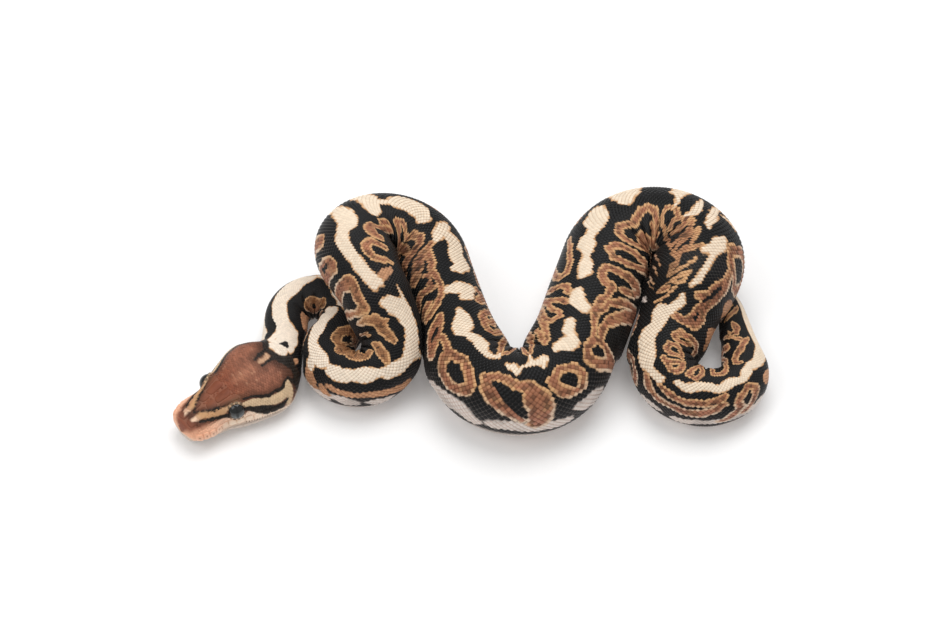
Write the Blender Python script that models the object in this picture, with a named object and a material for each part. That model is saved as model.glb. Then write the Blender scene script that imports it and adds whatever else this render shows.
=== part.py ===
"""A young ball python lying in loose coils, life size.

The body is one loft along a centreline that is laid round eight bends on the floor. Thin cuts part
it into the lengths that a person would name. The head is a second loft, parted at the mouth, with
a socket cut for each eye.
"""
import math

import bmesh
import bpy
import numpy as np

MM = 0.001
OBJECT_NAME = "coiled_ball_python"

# The centreline on the floor, in millimetres, walked from the snout to the tail.
# Each bend is (x, y, radius, turn), where turn is +1 to the walker's left and -1 to the right.
SNOUT = (-69.7, -33.0)
NAPE_BEND = (-55.8, -8.9, 9.0, 1)
NECK_LOOP = (-39.0, 1.2, 7.5, -1)
FRONT_COIL = (-27.6, -11.1, 8.4, 1)
LEFT_BEND = (-20.2, 12.5, 9.8, -1)
MIDDLE_BEND = (10.8, -13.0, 12.6, 1)
RIGHT_BEND = (44.5, 12.9, 11.8, -1)
REAR_COIL = (55.9, -14.3, 10.4, 1)
TAIL_BEND = (47.2, 3.7, 17.0, 1)
BENDS = (NAPE_BEND, NECK_LOOP, FRONT_COIL, LEFT_BEND, MIDDLE_BEND, RIGHT_BEND, REAR_COIL, TAIL_BEND)
TAIL_HEADING = math.radians(142)
ROUTE_STEP = 0.5
ROUTE_EASING = 1.6
FORM_EASING = 3.0

# Girth and height along the body. A place counts bends: 2.0 is where the third bend begins, 2.5
# where it ends and 3.0 where the fourth begins. Each row is (place, radius, lift off the floor).
BODY_FORM = (
    (-0.50, 4.0, 0.0),
    (-0.10, 9.0, 0.0),
    (0.10, 8.6, 0.0),
    (0.32, 5.6, 0.0),
    (1.00, 5.3, 0.0),
    (1.50, 5.8, 0.0),
    (2.08, 6.5, 0.0),
    (2.33, 7.1, 1.0),
    (2.46, 7.6, 4.5),
    (2.70, 8.7, 10.4),
    (3.03, 9.3, 11.0),
    (3.30, 9.9, 4.6),
    (3.56, 9.9, 0.6),
    (3.75, 9.8, 0.0),
    (4.00, 10.1, 0.0),
    (4.40, 10.5, 0.0),
    (4.75, 11.2, 0.0),
    (5.00, 11.3, 0.0),
    (5.40, 11.1, 2.6),
    (5.55, 10.8, 4.6),
    (5.80, 9.3, 0.8),
    (6.04, 8.0, 0.0),
    (6.25, 7.3, 0.0),
    (6.47, 5.8, 0.0),
    (6.65, 4.6, 0.0),
    (7.05, 3.3, 0.0),
    (7.30, 2.3, 0.0),
    (7.50, 0.9, 0.0),
)

# The lengths that the body is cut into: (name, place where its last length ends, lengths).
BODY_LENGTHS = (
    ("neck", 1.60, 3),
    ("front_coil", 2.50, 3),
    ("fore_trunk", 4.00, 5),
    ("mid_trunk", 5.00, 4),
    ("rear_trunk", 6.00, 4),
    ("rear_coil", 6.60, 3),
    ("tail", 7.50, 2),
)
SIDES = 22
BELLY = 0.93
BEND_FILL = 0.90
CUT_GAP = 0.3
PRESS_GAP = 0.45
STATION_TURN = math.radians(13)
STATION_LENGTH = 4.5

# The head: (distance back from the snout, half width, heights of the crown, the mouth and the chin).
HEAD_LENGTH = 32.0
HEAD_FORM = (
    (0.0, 2.6, 6.2, 4.2, 2.2),
    (0.7, 4.0, 7.0, 4.0, 1.7),
    (2.2, 5.2, 7.8, 3.8, 1.1),
    (5.5, 6.1, 8.8, 3.5, 0.4),
    (9.5, 6.8, 9.8, 3.3, 0.0),
    (13.5, 7.8, 10.8, 3.4, 0.0),
    (18.5, 9.5, 11.7, 3.7, 0.0),
    (22.5, 10.5, 12.2, 3.9, 0.0),
    (26.0, 10.1, 12.2, 4.0, 0.0),
    (29.0, 7.8, 11.5, 4.2, 0.0),
    (31.0, 6.0, 10.6, 4.6, 0.0),
    (32.0, 5.6, 10.2, 4.9, 0.0),
)
HEAD_MIDDLE = 6.0
HEAD_STATIONS = 22
HEAD_ARC_POINTS = 17
CROWN_SQUARENESS = 2.5
JAW_SQUARENESS = 2.7
JAW_INSET = 0.7
JAW_SETBACK = 1.6
MOUTH_GAP = 0.3

EYE_BACK = 12.6
EYE_OUT = 5.65
EYE_HEIGHT = 6.9
EYE_RADIUS = 2.35
SOCKET_GAP = 0.3

SKIN_COLORS = {
    "head": (0.25, 0.08, 0.05),
    "lower_jaw": (0.62, 0.50, 0.38),
    "neck": (0.16, 0.11, 0.07),
    "front_coil": (0.18, 0.12, 0.07),
    "fore_trunk": (0.15, 0.10, 0.06),
    "mid_trunk": (0.17, 0.11, 0.07),
    "rear_trunk": (0.15, 0.10, 0.06),
    "rear_coil": (0.19, 0.12, 0.07),
    "tail": (0.16, 0.11, 0.07),
}
EYE_COLOR = (0.02, 0.015, 0.015)
SKIN_ROUGHNESS = 0.5
EYE_ROUGHNESS = 0.08


def clear_scene():
    """Remove every object that the file opened with."""
    for thing in list(bpy.data.objects):
        bpy.data.objects.remove(thing, do_unlink=True)


def make_collection(name):
    """Add a collection to the scene."""
    collection = bpy.data.collections.new(name)
    bpy.context.scene.collection.children.link(collection)
    return collection


def soften(values, width):
    """Ease the rows of an evenly spaced array over a width in millimetres, keeping both ends."""
    count = int(3 * width / ROUTE_STEP)
    weights = np.exp(-0.5 * (np.arange(-count, count + 1) * ROUTE_STEP / width) ** 2)
    before = 2 * values[0] - values[count:0:-1]
    after = 2 * values[-1] - values[-2:-count - 2:-1]
    padded = np.concatenate([before, values, after])
    columns = padded.reshape(len(padded), -1).T
    eased = [np.convolve(column, weights / weights.sum(), "valid") for column in columns]
    return np.array(eased).T.reshape(values.shape)


def heading_between(here, there):
    """Heading of the straight that leaves one bend and meets the next."""
    across = there[0] - here[0]
    along = there[1] - here[1]
    offset = there[3] * there[2] - here[3] * here[2]
    return math.atan2(along, across) - math.asin(offset / math.hypot(across, along))


def rim_point(bend, heading):
    """Point of a bend where the walker has this heading."""
    x, y, radius, turn = bend
    return x + turn * radius * math.sin(heading), y - turn * radius * math.cos(heading)


def lay_route():
    """Lay arcs and straights round the bends: points on the floor, and each point's place."""
    stops = [(*SNOUT, 0.0, 1), *BENDS]
    headings = [heading_between(here, there) for here, there in zip(stops, stops[1:])]
    headings.append(TAIL_HEADING)
    points = [SNOUT]
    places = [-0.5]
    for number, bend in enumerate(BENDS):
        sweep = (bend[3] * (headings[number + 1] - headings[number])) % math.tau
        for part in np.linspace(0.0, 1.0, 60):
            points.append(rim_point(bend, headings[number] + bend[3] * sweep * part))
            places.append(number + 0.5 * part)
    return np.array(points), np.array(places)


class Body:
    """The centreline, girth and height of the snake at even steps from the snout to the tail."""

    def __init__(self):
        points, places = lay_route()
        walked = np.concatenate([[0.0], np.cumsum(np.hypot(*np.diff(points, axis=0).T))])
        self.along = np.arange(0.0, walked[-1], ROUTE_STEP)
        self.place = np.interp(self.along, walked, places)
        form = np.array(BODY_FORM)
        self.radius = soften(np.interp(self.place, form[:, 0], form[:, 1]), FORM_EASING)
        self.lift = soften(np.interp(self.place, form[:, 0], form[:, 2]), FORM_EASING)
        floor = [np.interp(self.along, walked, column) for column in points.T]
        floor = soften(np.array(floor).T, ROUTE_EASING)
        self.centre = np.column_stack([floor, BELLY * self.radius + self.lift])
        run = np.gradient(np.column_stack([floor, self.lift]), ROUTE_STEP, axis=0)
        self.forward = run / np.linalg.norm(run, axis=1)[:, None]
        heading = np.unwrap(np.arctan2(run[:, 1], run[:, 0]))
        self.bend = np.gradient(heading, ROUTE_STEP)
        self.turned = np.cumsum(np.abs(self.bend)) * ROUTE_STEP

    def at(self, along, values):
        """Value, or vector, of an array at a distance from the snout."""
        columns = values.reshape(len(values), -1).T
        found = [np.interp(along, self.along, column) for column in columns]
        return np.array(found) if len(found) > 1 else found[0]

    def distance_of(self, place):
        """Distance from the snout to a place."""
        return float(np.interp(place, self.place, self.along))


def pressed(body, ring, centre, radius, along):
    """Flatten a ring of points where another stretch of the body lies against it."""
    apart = np.abs(body.along - along) > radius + body.radius
    others = body.centre[apart]
    sizes = body.radius[apart]
    away = others - centre
    distance = np.linalg.norm(away, axis=1)
    touching = distance < radius + sizes + PRESS_GAP
    if not touching.any():
        return ring
    normal = away[touching] / distance[touching, None]
    limit = distance[touching] * radius / (radius + sizes[touching]) - PRESS_GAP / 2
    reach = (ring - centre) @ normal.T
    share = np.where(reach > limit, limit / np.maximum(reach, 0.01), 1.0).min(axis=1)
    return centre + (ring - centre) * share[:, None]


def body_section(body, along):
    """Ring of points round the body: round back, flat belly, narrower on the inside of a bend."""
    centre = body.at(along, body.centre)
    forward = body.at(along, body.forward)
    forward = forward / np.linalg.norm(forward)
    left = np.array([-forward[1], forward[0], 0.0])
    left = left / np.linalg.norm(left)
    upward = np.cross(forward, left)
    radius = body.at(along, body.radius)
    bend = body.at(along, body.bend)
    angles = np.arange(SIDES) * math.tau / SIDES
    sideways = radius * np.sin(angles)
    height = np.maximum(radius * np.cos(angles), -BELLY * radius)
    inside = sideways * np.sign(bend) > BEND_FILL / max(abs(bend), 1e-6)
    sideways[inside] = np.sign(bend) * BEND_FILL / max(abs(bend), 1e-6)
    ring = centre + np.outer(sideways, left) + np.outer(height, upward)
    return pressed(body, ring, centre, radius, along)


def loft(name, rings, collection):
    """Skin a row of rings with quads and close both ends."""
    mesh = bmesh.new()
    rows = [[mesh.verts.new([value * MM for value in point]) for point in ring] for ring in rings]
    count = len(rows[0])
    for here, there in zip(rows, rows[1:]):
        for side in range(count):
            following = (side + 1) % count
            mesh.faces.new((here[side], there[side], there[following], here[following]))
    mesh.faces.new(rows[0])
    mesh.faces.new(rows[-1][::-1])
    bmesh.ops.recalc_face_normals(mesh, faces=mesh.faces)
    data = bpy.data.meshes.new(name)
    mesh.to_mesh(data)
    mesh.free()
    thing = bpy.data.objects.new(name, data)
    collection.objects.link(thing)
    return thing


def finish(thing, color, roughness):
    """Shade a piece smooth and give it its own material."""
    material = bpy.data.materials.new(thing.name)
    material.use_nodes = True
    shader = material.node_tree.nodes["Principled BSDF"]
    shader.inputs["Base Color"].default_value = (*color, 1.0)
    shader.inputs["Roughness"].default_value = roughness
    shader.inputs["Metallic"].default_value = 0.0
    thing.data.materials.append(material)
    thing.data.shade_smooth()


def build_length(name, body, start, end, collection):
    """One length of the body between two thin cuts."""
    first = start + CUT_GAP / 2
    last = end - CUT_GAP / 2
    turned = body.at(last, body.turned) - body.at(first, body.turned)
    steps = max(math.ceil(turned / STATION_TURN), math.ceil((last - first) / STATION_LENGTH))
    rings = [body_section(body, along) for along in np.linspace(first, last, steps + 1)]
    return loft(name, rings, collection)


def build_body(body, collection):
    """Every length of the neck, the trunk and the tail."""
    start = HEAD_LENGTH
    for name, last_place, count in BODY_LENGTHS:
        end = min(body.distance_of(last_place), body.along[-1] + CUT_GAP / 2)
        cuts = np.linspace(start, end, count + 1)
        for number in range(count):
            length_name = f"{name}_{number + 1}"
            thing = build_length(length_name, body, cuts[number], cuts[number + 1], collection)
            finish(thing, SKIN_COLORS[name], SKIN_ROUGHNESS)
        start = end


def head_place(body, back, left, height):
    """Point of the head at a distance behind the snout, left of the centreline, above the floor."""
    forward = body.at(back, body.forward)
    middle = body.at(back, body.centre)
    across = np.array([-forward[1], forward[0]]) / math.hypot(forward[0], forward[1])
    return middle[0] + left * across[0], middle[1] + left * across[1], height


def head_sizes(back):
    """Half width, and crown, mouth and chin heights, at a distance back from the snout."""
    form = np.array(HEAD_FORM)
    return [float(np.interp(back, form[:, 0], column)) for column in form[:, 1:].T]


def press_head(body, back, half_width, ring):
    """Flatten the back of the head where the front coil lies against it."""
    centre = np.array(head_place(body, back, 0.0, HEAD_MIDDLE))
    return pressed(body, np.array(ring), centre, half_width, back)


def crown_ring(body, back):
    """Upper half of the head: rounded crown over a flat palate."""
    half_width, crown, mouth, _ = head_sizes(back)
    points = []
    for angle in np.linspace(0.0, math.pi, HEAD_ARC_POINTS):
        across = math.copysign(abs(math.cos(angle)) ** (2 / CROWN_SQUARENESS), math.cos(angle))
        rise = abs(math.sin(angle)) ** (2 / CROWN_SQUARENESS)
        height = mouth + (crown - mouth) * rise
        points.append(head_place(body, back, half_width * across, height))
    return press_head(body, back, half_width, points)


def jaw_ring(body, back):
    """Lower jaw: rounded sides under a flat top, lying on the floor."""
    half_width, _, mouth, chin = head_sizes(back)
    top = mouth - MOUTH_GAP
    points = []
    for angle in np.linspace(0.0, math.pi, HEAD_ARC_POINTS):
        across = math.copysign(abs(math.cos(angle)) ** (2 / JAW_SQUARENESS), math.cos(angle))
        drop = abs(math.sin(angle)) ** (2 / JAW_SQUARENESS)
        height = top - (top - chin) * drop
        points.append(head_place(body, back, (half_width - JAW_INSET) * across, height))
    return press_head(body, back, half_width, points)


def head_distances(first):
    """Distances of the head's sections, closer together at the blunt snout."""
    last = HEAD_LENGTH - CUT_GAP / 2
    return [first + (last - first) * part ** 1.6 for part in np.linspace(0.0, 1.0, HEAD_STATIONS)]


def add_eye(name, side, body, collection):
    """One eyeball, a sphere set into the side of the head."""
    eye = add_ball(name, side, EYE_RADIUS, body, collection)
    finish(eye, EYE_COLOR, EYE_ROUGHNESS)
    return eye


def add_ball(name, side, radius, body, collection):
    """Sphere at the place of an eye."""
    mesh = bmesh.new()
    bmesh.ops.create_uvsphere(mesh, u_segments=20, v_segments=12, radius=radius * MM)
    data = bpy.data.meshes.new(name)
    mesh.to_mesh(data)
    mesh.free()
    ball = bpy.data.objects.new(name, data)
    place = head_place(body, EYE_BACK, side * EYE_OUT, EYE_HEIGHT)
    ball.location = [value * MM for value in place]
    collection.objects.link(ball)
    return ball


def cut_socket(head, side, body, cutters):
    """Hollow the head for one eye."""
    name = "socket_left" if side > 0 else "socket_right"
    cutter = add_ball(name, side, EYE_RADIUS + SOCKET_GAP, body, cutters)
    cutter.hide_render = True
    cutter.display_type = "WIRE"
    socket = head.modifiers.new(name, "BOOLEAN")
    socket.operation = "DIFFERENCE"
    socket.object = cutter


def build_head(body, collection, cutters):
    """Head with its two eye sockets, lower jaw and eyes."""
    crown_rings = [crown_ring(body, back) for back in head_distances(0.0)]
    jaw_rings = [jaw_ring(body, back) for back in head_distances(JAW_SETBACK)]
    head = loft("head", crown_rings, collection)
    jaw = loft("lower_jaw", jaw_rings, collection)
    for thing in (head, jaw):
        finish(thing, SKIN_COLORS[thing.name], SKIN_ROUGHNESS)
    for name, side in (("eye_right", 1), ("eye_left", -1)):
        cut_socket(head, side, body, cutters)
        add_eye(name, side, body, collection)


def main():
    """Build the snake."""
    clear_scene()
    parts = make_collection(OBJECT_NAME)
    cutters = make_collection("cutters")
    body = Body()
    build_head(body, parts, cutters)
    build_body(body, parts)


main()
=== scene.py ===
"""Looks of a young ball python that lies in loose coils: one skin, its scales, its markings, its eyes.

A place on the skin is (along, turn): millimetres from the snout along the middle of the body, and
degrees round from the middle of the back, positive to the left of someone who walks from the snout
to the tail. Lengths are in millimetres, and in metres once they are in a mesh.
"""
import math

import bpy
import numpy as np
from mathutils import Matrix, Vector, kdtree


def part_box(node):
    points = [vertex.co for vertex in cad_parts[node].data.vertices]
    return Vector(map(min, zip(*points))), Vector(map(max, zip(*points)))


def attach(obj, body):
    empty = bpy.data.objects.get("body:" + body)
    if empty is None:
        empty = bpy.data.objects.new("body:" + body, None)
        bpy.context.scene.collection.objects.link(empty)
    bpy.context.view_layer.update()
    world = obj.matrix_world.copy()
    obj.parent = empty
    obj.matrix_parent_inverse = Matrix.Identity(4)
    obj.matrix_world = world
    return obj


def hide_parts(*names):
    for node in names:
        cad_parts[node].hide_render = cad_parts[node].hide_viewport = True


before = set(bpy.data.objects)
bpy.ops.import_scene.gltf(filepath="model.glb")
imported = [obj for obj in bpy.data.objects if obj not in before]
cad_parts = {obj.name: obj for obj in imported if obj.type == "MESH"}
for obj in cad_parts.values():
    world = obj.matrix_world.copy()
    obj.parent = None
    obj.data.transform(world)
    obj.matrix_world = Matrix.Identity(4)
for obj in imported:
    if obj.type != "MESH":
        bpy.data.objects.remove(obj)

MM = 0.001

# The body, as in the part's own source: the centreline is walked from the snout to the tail, and
# each bend is (x, y, radius, turn), where turn is +1 to the walker's left and -1 to the right.
SNOUT = (-69.7, -33.0)
NAPE_BEND = (-55.8, -8.9, 9.0, 1)
NECK_LOOP = (-39.0, 1.2, 7.5, -1)
FRONT_COIL = (-27.6, -11.1, 8.4, 1)
LEFT_BEND = (-20.2, 12.5, 9.8, -1)
MIDDLE_BEND = (10.8, -13.0, 12.6, 1)
RIGHT_BEND = (44.5, 12.9, 11.8, -1)
REAR_COIL = (55.9, -14.3, 10.4, 1)
TAIL_BEND = (47.2, 3.7, 17.0, 1)
BENDS = (NAPE_BEND, NECK_LOOP, FRONT_COIL, LEFT_BEND, MIDDLE_BEND, RIGHT_BEND, REAR_COIL, TAIL_BEND)
TAIL_HEADING = math.radians(142)
ROUTE_STEP = 0.5
ROUTE_EASING = 1.6
FORM_EASING = 3.0
CURL_EASING = 8.0
ARC_STEPS = 60

# Each row is (place, radius, lift off the floor). A place counts bends: 2.0 is where the third
# bend begins, 2.5 where it ends and 3.0 where the fourth begins.
BODY_FORM = (
    (-0.50, 4.0, 0.0),
    (-0.10, 9.0, 0.0),
    (0.10, 8.6, 0.0),
    (0.32, 5.6, 0.0),
    (1.00, 5.3, 0.0),
    (1.50, 5.8, 0.0),
    (2.08, 6.5, 0.0),
    (2.33, 7.1, 1.0),
    (2.46, 7.6, 4.5),
    (2.70, 8.7, 10.4),
    (3.03, 9.3, 11.0),
    (3.30, 9.9, 4.6),
    (3.56, 9.9, 0.6),
    (3.75, 9.8, 0.0),
    (4.00, 10.1, 0.0),
    (4.40, 10.5, 0.0),
    (4.75, 11.2, 0.0),
    (5.00, 11.3, 0.0),
    (5.40, 11.1, 2.6),
    (5.55, 10.8, 4.6),
    (5.80, 9.3, 0.8),
    (6.04, 8.0, 0.0),
    (6.25, 7.3, 0.0),
    (6.47, 5.8, 0.0),
    (6.65, 4.6, 0.0),
    (7.05, 3.3, 0.0),
    (7.30, 2.3, 0.0),
    (7.50, 0.9, 0.0),
)
BELLY = 0.93
# Most that flesh may fill of a bend's radius, and its swell inside bends between these curls.
BEND_FILL = 0.96
INNER_SWELL = 1.13
SWELL_CURLS = (0.002, 0.035)
# Gap between two stretches that press on each other, how far flesh reaches out to close a gap, and
# the least distance along the body at which it does.
PRESS_GAP = 0.12
REACH_OUT = 0.8
FAR_ALONG = 40.0
FOLD_PITCH = 4.6
FOLD_DEPTH = 0.85

# The head: (distance back from the snout, half width, heights of the crown, the mouth and the chin).
HEAD_FORM = (
    (0.0, 2.6, 6.2, 4.2, 2.2),
    (0.7, 4.0, 7.0, 4.0, 1.7),
    (2.2, 5.2, 7.8, 3.8, 1.1),
    (5.5, 6.1, 8.8, 3.5, 0.4),
    (9.5, 6.8, 9.8, 3.3, 0.0),
    (13.5, 7.8, 10.8, 3.4, 0.0),
    (18.5, 9.5, 11.7, 3.7, 0.0),
    (22.5, 10.5, 12.2, 3.9, 0.0),
    (26.0, 10.1, 12.2, 4.0, 0.0),
    (29.0, 7.8, 11.5, 4.2, 0.0),
    (31.0, 6.0, 10.6, 4.6, 0.0),
    (32.0, 5.6, 10.2, 4.9, 0.0),
)
HEAD_END = 32.0
HEAD_MIDDLE = 6.0
HEAD_EASING = 1.8
CROWN_SQUARENESS = 2.5
JAW_SQUARENESS = 2.7
JAW_INSET = 0.7
EYE_BACK = 12.6
EYE_OUT = 5.25
EYE_HEIGHT = 7.4
EYE_RADIUS = 2.35

TIP_ROUND = 1.0
TIP_HEIGHT = 4.3
NOSTRIL = (2.6, 37.0)
NOSTRIL_ROOM = 0.55
GAZE_LIFT = 18.0
GAZE_FORWARD = 26.0
EYE_OPENING = 60.0
LID_THICKNESS = 0.26
# Relief of the head, both sides alike: (back, turn, length, breadth, rise).
HEAD_RELIEF = (
    (1.1, 60.0, 1.1, 45.0, 0.18),
    (4.2, 66.0, 2.8, 22.0, 0.55),
    (9.3, 58.0, 2.0, 11.0, -0.50),
    (9.6, 79.0, 3.0, 13.0, -1.65),
    (13.5, 82.0, 2.2, 9.0, -0.45),
    (7.5, 27.0, 4.0, 6.0, 0.20),
    (11.0, 0.0, 6.0, 9.0, -0.22),
    (20.5, 0.0, 6.0, 7.0, -0.16),
    (21.5, 34.0, 4.0, 16.0, 0.30),
    (23.0, 74.0, 3.8, 16.0, 0.40),
    (*NOSTRIL, 0.42, 5.0, -0.50),
)
JAW_TUCK = 0.75
MOUTH_TURN = 91.0
MOUTH_END = 23.5
MOUTH_DEPTH = 0.38

# The skin lies this far inside the solids, and the scales fill that depth.
COAT_DEPTH = 0.32
HEAD_DEPTH = 0.10
SKIN_COLUMNS = 156
HEAD_ROW = 0.3
BODY_ROW = 0.7

# Back scales: rows from one edge of the belly plates to the other, and their length on a body
# of the named girth. The belly plates meet them at BELLY_EDGE degrees.
SCALE_ROWS = 65
BELLY_EDGE = 134.0
SCALE_LENGTH = 0.88
SCALE_GIRTH = 9.8
SCALE_START = 14.0
# A plate's half length and rise as shares of a scale's length, and its half width in rows.
PLATE_HALF = 0.57
PLATE_RISE = 0.30
PLATE_SPREAD = 0.95
# Half the side of a scale's patch on the unrolled skin.
PATCH_HALF = 0.0015
SCUTE_LENGTH = 1.75
SCUTE_START = 27.0
SCUTE_COLUMNS = 11
# Section of a belly plate, root to free edge and back under: (share of its length, height, rim), where rim
# is the share of painted shade at its root and under its lapped free edge.
SCUTE_PROFILE = ((-0.04, 0.0, 1.0), (0.10, 0.12, 0.3), (0.55, 0.18, 0.0), (1.02, 0.24, 0.3),
                 (1.08, 0.12, 1.0))
COAT_PIECES = 8

# Large plates of the head, right side, as (back, turn) corners. The left side mirrors them.
UPPER_SEAMS = (1.2, 2.7, 4.3, 6.0, 7.8, 9.7, 11.6, 13.5, 15.5, 17.5, 19.5, 21.5, 23.4)
UPPER_TOP = ((0.0, 60.0), (4.0, 62.0), (8.0, 69.0), (10.5, 79.0), (14.5, 79.5), (17.0, 76.0), (26.0, 78.0))
UPPER_BOTTOM = ((0.0, 88.6), (26.0, 88.6))
LOWER_SEAMS = (1.3, 3.0, 4.8, 6.7, 8.7, 10.8, 12.9, 15.0, 17.2, 19.4, 21.6, 23.4)
LOWER_TOP = ((0.0, 93.4), (26.0, 93.4))
LOWER_BOTTOM = ((0.0, 116.0), (4.0, 114.0), (12.0, 112.0), (26.0, 108.0))
SNOUT_SHIELDS = (
    ((1.3, 2), (1.3, 30), (3.5, 27), (3.7, 2)),
    ((1.25, 33), (1.25, 57), (2.25, 54), (2.15, 32)),
    ((3.15, 31), (3.05, 52), (4.6, 48), (4.6, 30)),
    ((4.0, 2), (3.8, 26), (6.4, 25), (6.9, 2)),
    ((7.2, 2), (6.7, 24), (9.1, 21), (9.5, 2)),
    ((9.8, 2), (9.4, 16), (13.2, 18), (13.8, 2)),
    ((9.6, 19), (9.9, 33), (14.4, 34), (13.8, 21)),
)
MIDDLE_SHIELDS = (
    ((0.16, -62), (0.16, 62), (1.15, 40), (1.15, -40)),
    ((0.25, 125), (0.25, 235), (1.2, 222), (1.2, 138)),
)
HEAT_PITS = (0, 1, 2, 3)
SHIELD_MARGIN = 0.16
# Rise of the plates, and how far those off the upper lips are drawn out.
LIP_RISE = 0.34
SHIELD_RISE = 0.24
SHIELD_SPREAD = 1.07
GRAIN_END = 14.3
GRAIN_TRIES = 46000
GRAIN_CELL = 0.6
SPREAD_ROUNDS = 8
LID_SCALES = 13
LID_ROWS = (8.0, 18.0)
LID_RING = 10.5
LID_SCALE_RADIUS = 0.50
LID_SCALE_RISE = 0.16
NEIGHBOURS = [(x, y, z) for x in (-1, 0, 1) for y in (-1, 0, 1) for z in (-1, 0, 1)]

ROOM_LIGHT = 0.55
SOFTBOXES = (((0.1, 0.35, 0.9), 0.8, 6.0), ((-0.5, -0.2, 0.7), 0.5, 1.5))
FLOOR_COLOUR = (0.90, 0.90, 0.90)
FLOOR_GLOW = 0.09
CAMERA_TILT = math.radians(50)
CAMERA_DISTANCE = 0.6507
CAMERA_LENS = 100.0
CAMERA_AIM = (-0.0012, 0.0077, 0.0)


def soften(values, width):
    """Ease the rows of an evenly spaced array over a width in millimetres, keeping both ends."""
    count = int(3 * width / ROUTE_STEP)
    weights = np.exp(-0.5 * (np.arange(-count, count + 1) * ROUTE_STEP / width) ** 2)
    before = 2 * values[0] - values[count:0:-1]
    after = 2 * values[-1] - values[-2:-count - 2:-1]
    padded = np.concatenate([before, values, after])
    columns = padded.reshape(len(padded), -1).T
    eased = [np.convolve(column, weights / weights.sum(), "valid") for column in columns]
    return np.array(eased).T.reshape(values.shape)


def smoothstep(low, high, value):
    """Ease from 0 at low to 1 at high."""
    share = np.clip((value - low) / (high - low), 0.0, 1.0)
    return share * share * (3.0 - 2.0 * share)


def heading_between(here, there):
    """Heading of the straight that leaves one bend and meets the next."""
    across = there[0] - here[0]
    along = there[1] - here[1]
    offset = there[3] * there[2] - here[3] * here[2]
    return math.atan2(along, across) - math.asin(offset / math.hypot(across, along))


def rim_point(bend, heading):
    """Point of a bend where the walker has this heading."""
    x, y, radius, turn = bend
    return x + turn * radius * math.sin(heading), y - turn * radius * math.cos(heading)


def lay_route():
    """Lay arcs and straights round the bends: points on the floor, and each point's place."""
    stops = [(*SNOUT, 0.0, 1), *BENDS]
    headings = [heading_between(here, there) for here, there in zip(stops, stops[1:])]
    headings.append(TAIL_HEADING)
    points = [SNOUT]
    places = [-0.5]
    for number, bend in enumerate(BENDS):
        sweep = (bend[3] * (headings[number + 1] - headings[number])) % math.tau
        for part in np.linspace(0.0, 1.0, ARC_STEPS):
            points.append(rim_point(bend, headings[number] + bend[3] * sweep * part))
            places.append(number + 0.5 * part)
    return np.array(points), np.array(places)


class Body:
    """The centreline, girth and height of the snake at even steps from the snout to the tail."""

    def __init__(self):
        points, places = lay_route()
        walked = np.concatenate([[0.0], np.cumsum(np.hypot(*np.diff(points, axis=0).T))])
        self.along = np.arange(0.0, walked[-1], ROUTE_STEP)
        self.place = np.interp(self.along, walked, places)
        form = np.array(BODY_FORM)
        self.radius = soften(np.interp(self.place, form[:, 0], form[:, 1]), FORM_EASING)
        self.lift = soften(np.interp(self.place, form[:, 0], form[:, 2]), FORM_EASING)
        floor = [np.interp(self.along, walked, column) for column in points.T]
        floor = soften(np.array(floor).T, ROUTE_EASING)
        self.centre = np.column_stack([floor, BELLY * self.radius + self.lift])
        run = np.gradient(np.column_stack([floor, self.lift]), ROUTE_STEP, axis=0)
        self.forward = run / np.linalg.norm(run, axis=1)[:, None]
        heading = np.unwrap(np.arctan2(run[:, 1], run[:, 0]))
        self.bend = np.gradient(heading, ROUTE_STEP)
        self.curl = soften(self.bend, CURL_EASING)
        self.length = self.along[-1]

    def at(self, along, values):
        """Value, or vector, of an array at a distance from the snout."""
        columns = values.reshape(len(values), -1).T
        found = [np.interp(along, self.along, column) for column in columns]
        return np.array(found) if len(found) > 1 else found[0]


def pressed(body, ring, centre, radius, along, depth):
    """Flatten a ring of points against other stretches of the body, and fill a narrow gap."""
    apart = np.abs(body.along - along) > radius + body.radius
    others = body.centre[apart]
    sizes = body.radius[apart]
    far = np.abs(body.along[apart] - along) > FAR_ALONG
    away = others - centre
    distance = np.linalg.norm(away, axis=1)
    space = np.where(far, distance - sizes - radius, 99.0)
    nearest = int(np.argmin(space)) if len(space) else -1
    if nearest >= 0 and -0.5 < space[nearest] < 2.0 and along > HEAD_END + 4.0:
        towards = away[nearest] / distance[nearest]
        facing = smoothstep(0.55, 0.98, (ring - centre) @ towards / radius)
        ring = ring + np.outer(facing, towards) * min(REACH_OUT, 0.5 + 0.5 * space[nearest])
    touching = distance < radius + sizes + PRESS_GAP + 2.0 * REACH_OUT
    if not touching.any():
        return ring
    normal = away[touching] / distance[touching, None]
    limit = distance[touching] * radius / (radius + sizes[touching]) - PRESS_GAP / 2 - depth
    reach = (ring - centre) @ normal.T
    share = np.where(reach > limit, limit / np.maximum(reach, 0.01), 1.0).min(axis=1)
    return centre + (ring - centre) * share[:, None]


def eased_limit(value, limit):
    """Hold a value under a limit, bending over gently as it nears it."""
    start = 0.90 * limit
    room = limit - start
    over = np.maximum(value - start, 0.0)
    return np.where(value > start, start + room * (1.0 - np.exp(-over / room)), value)


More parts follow.
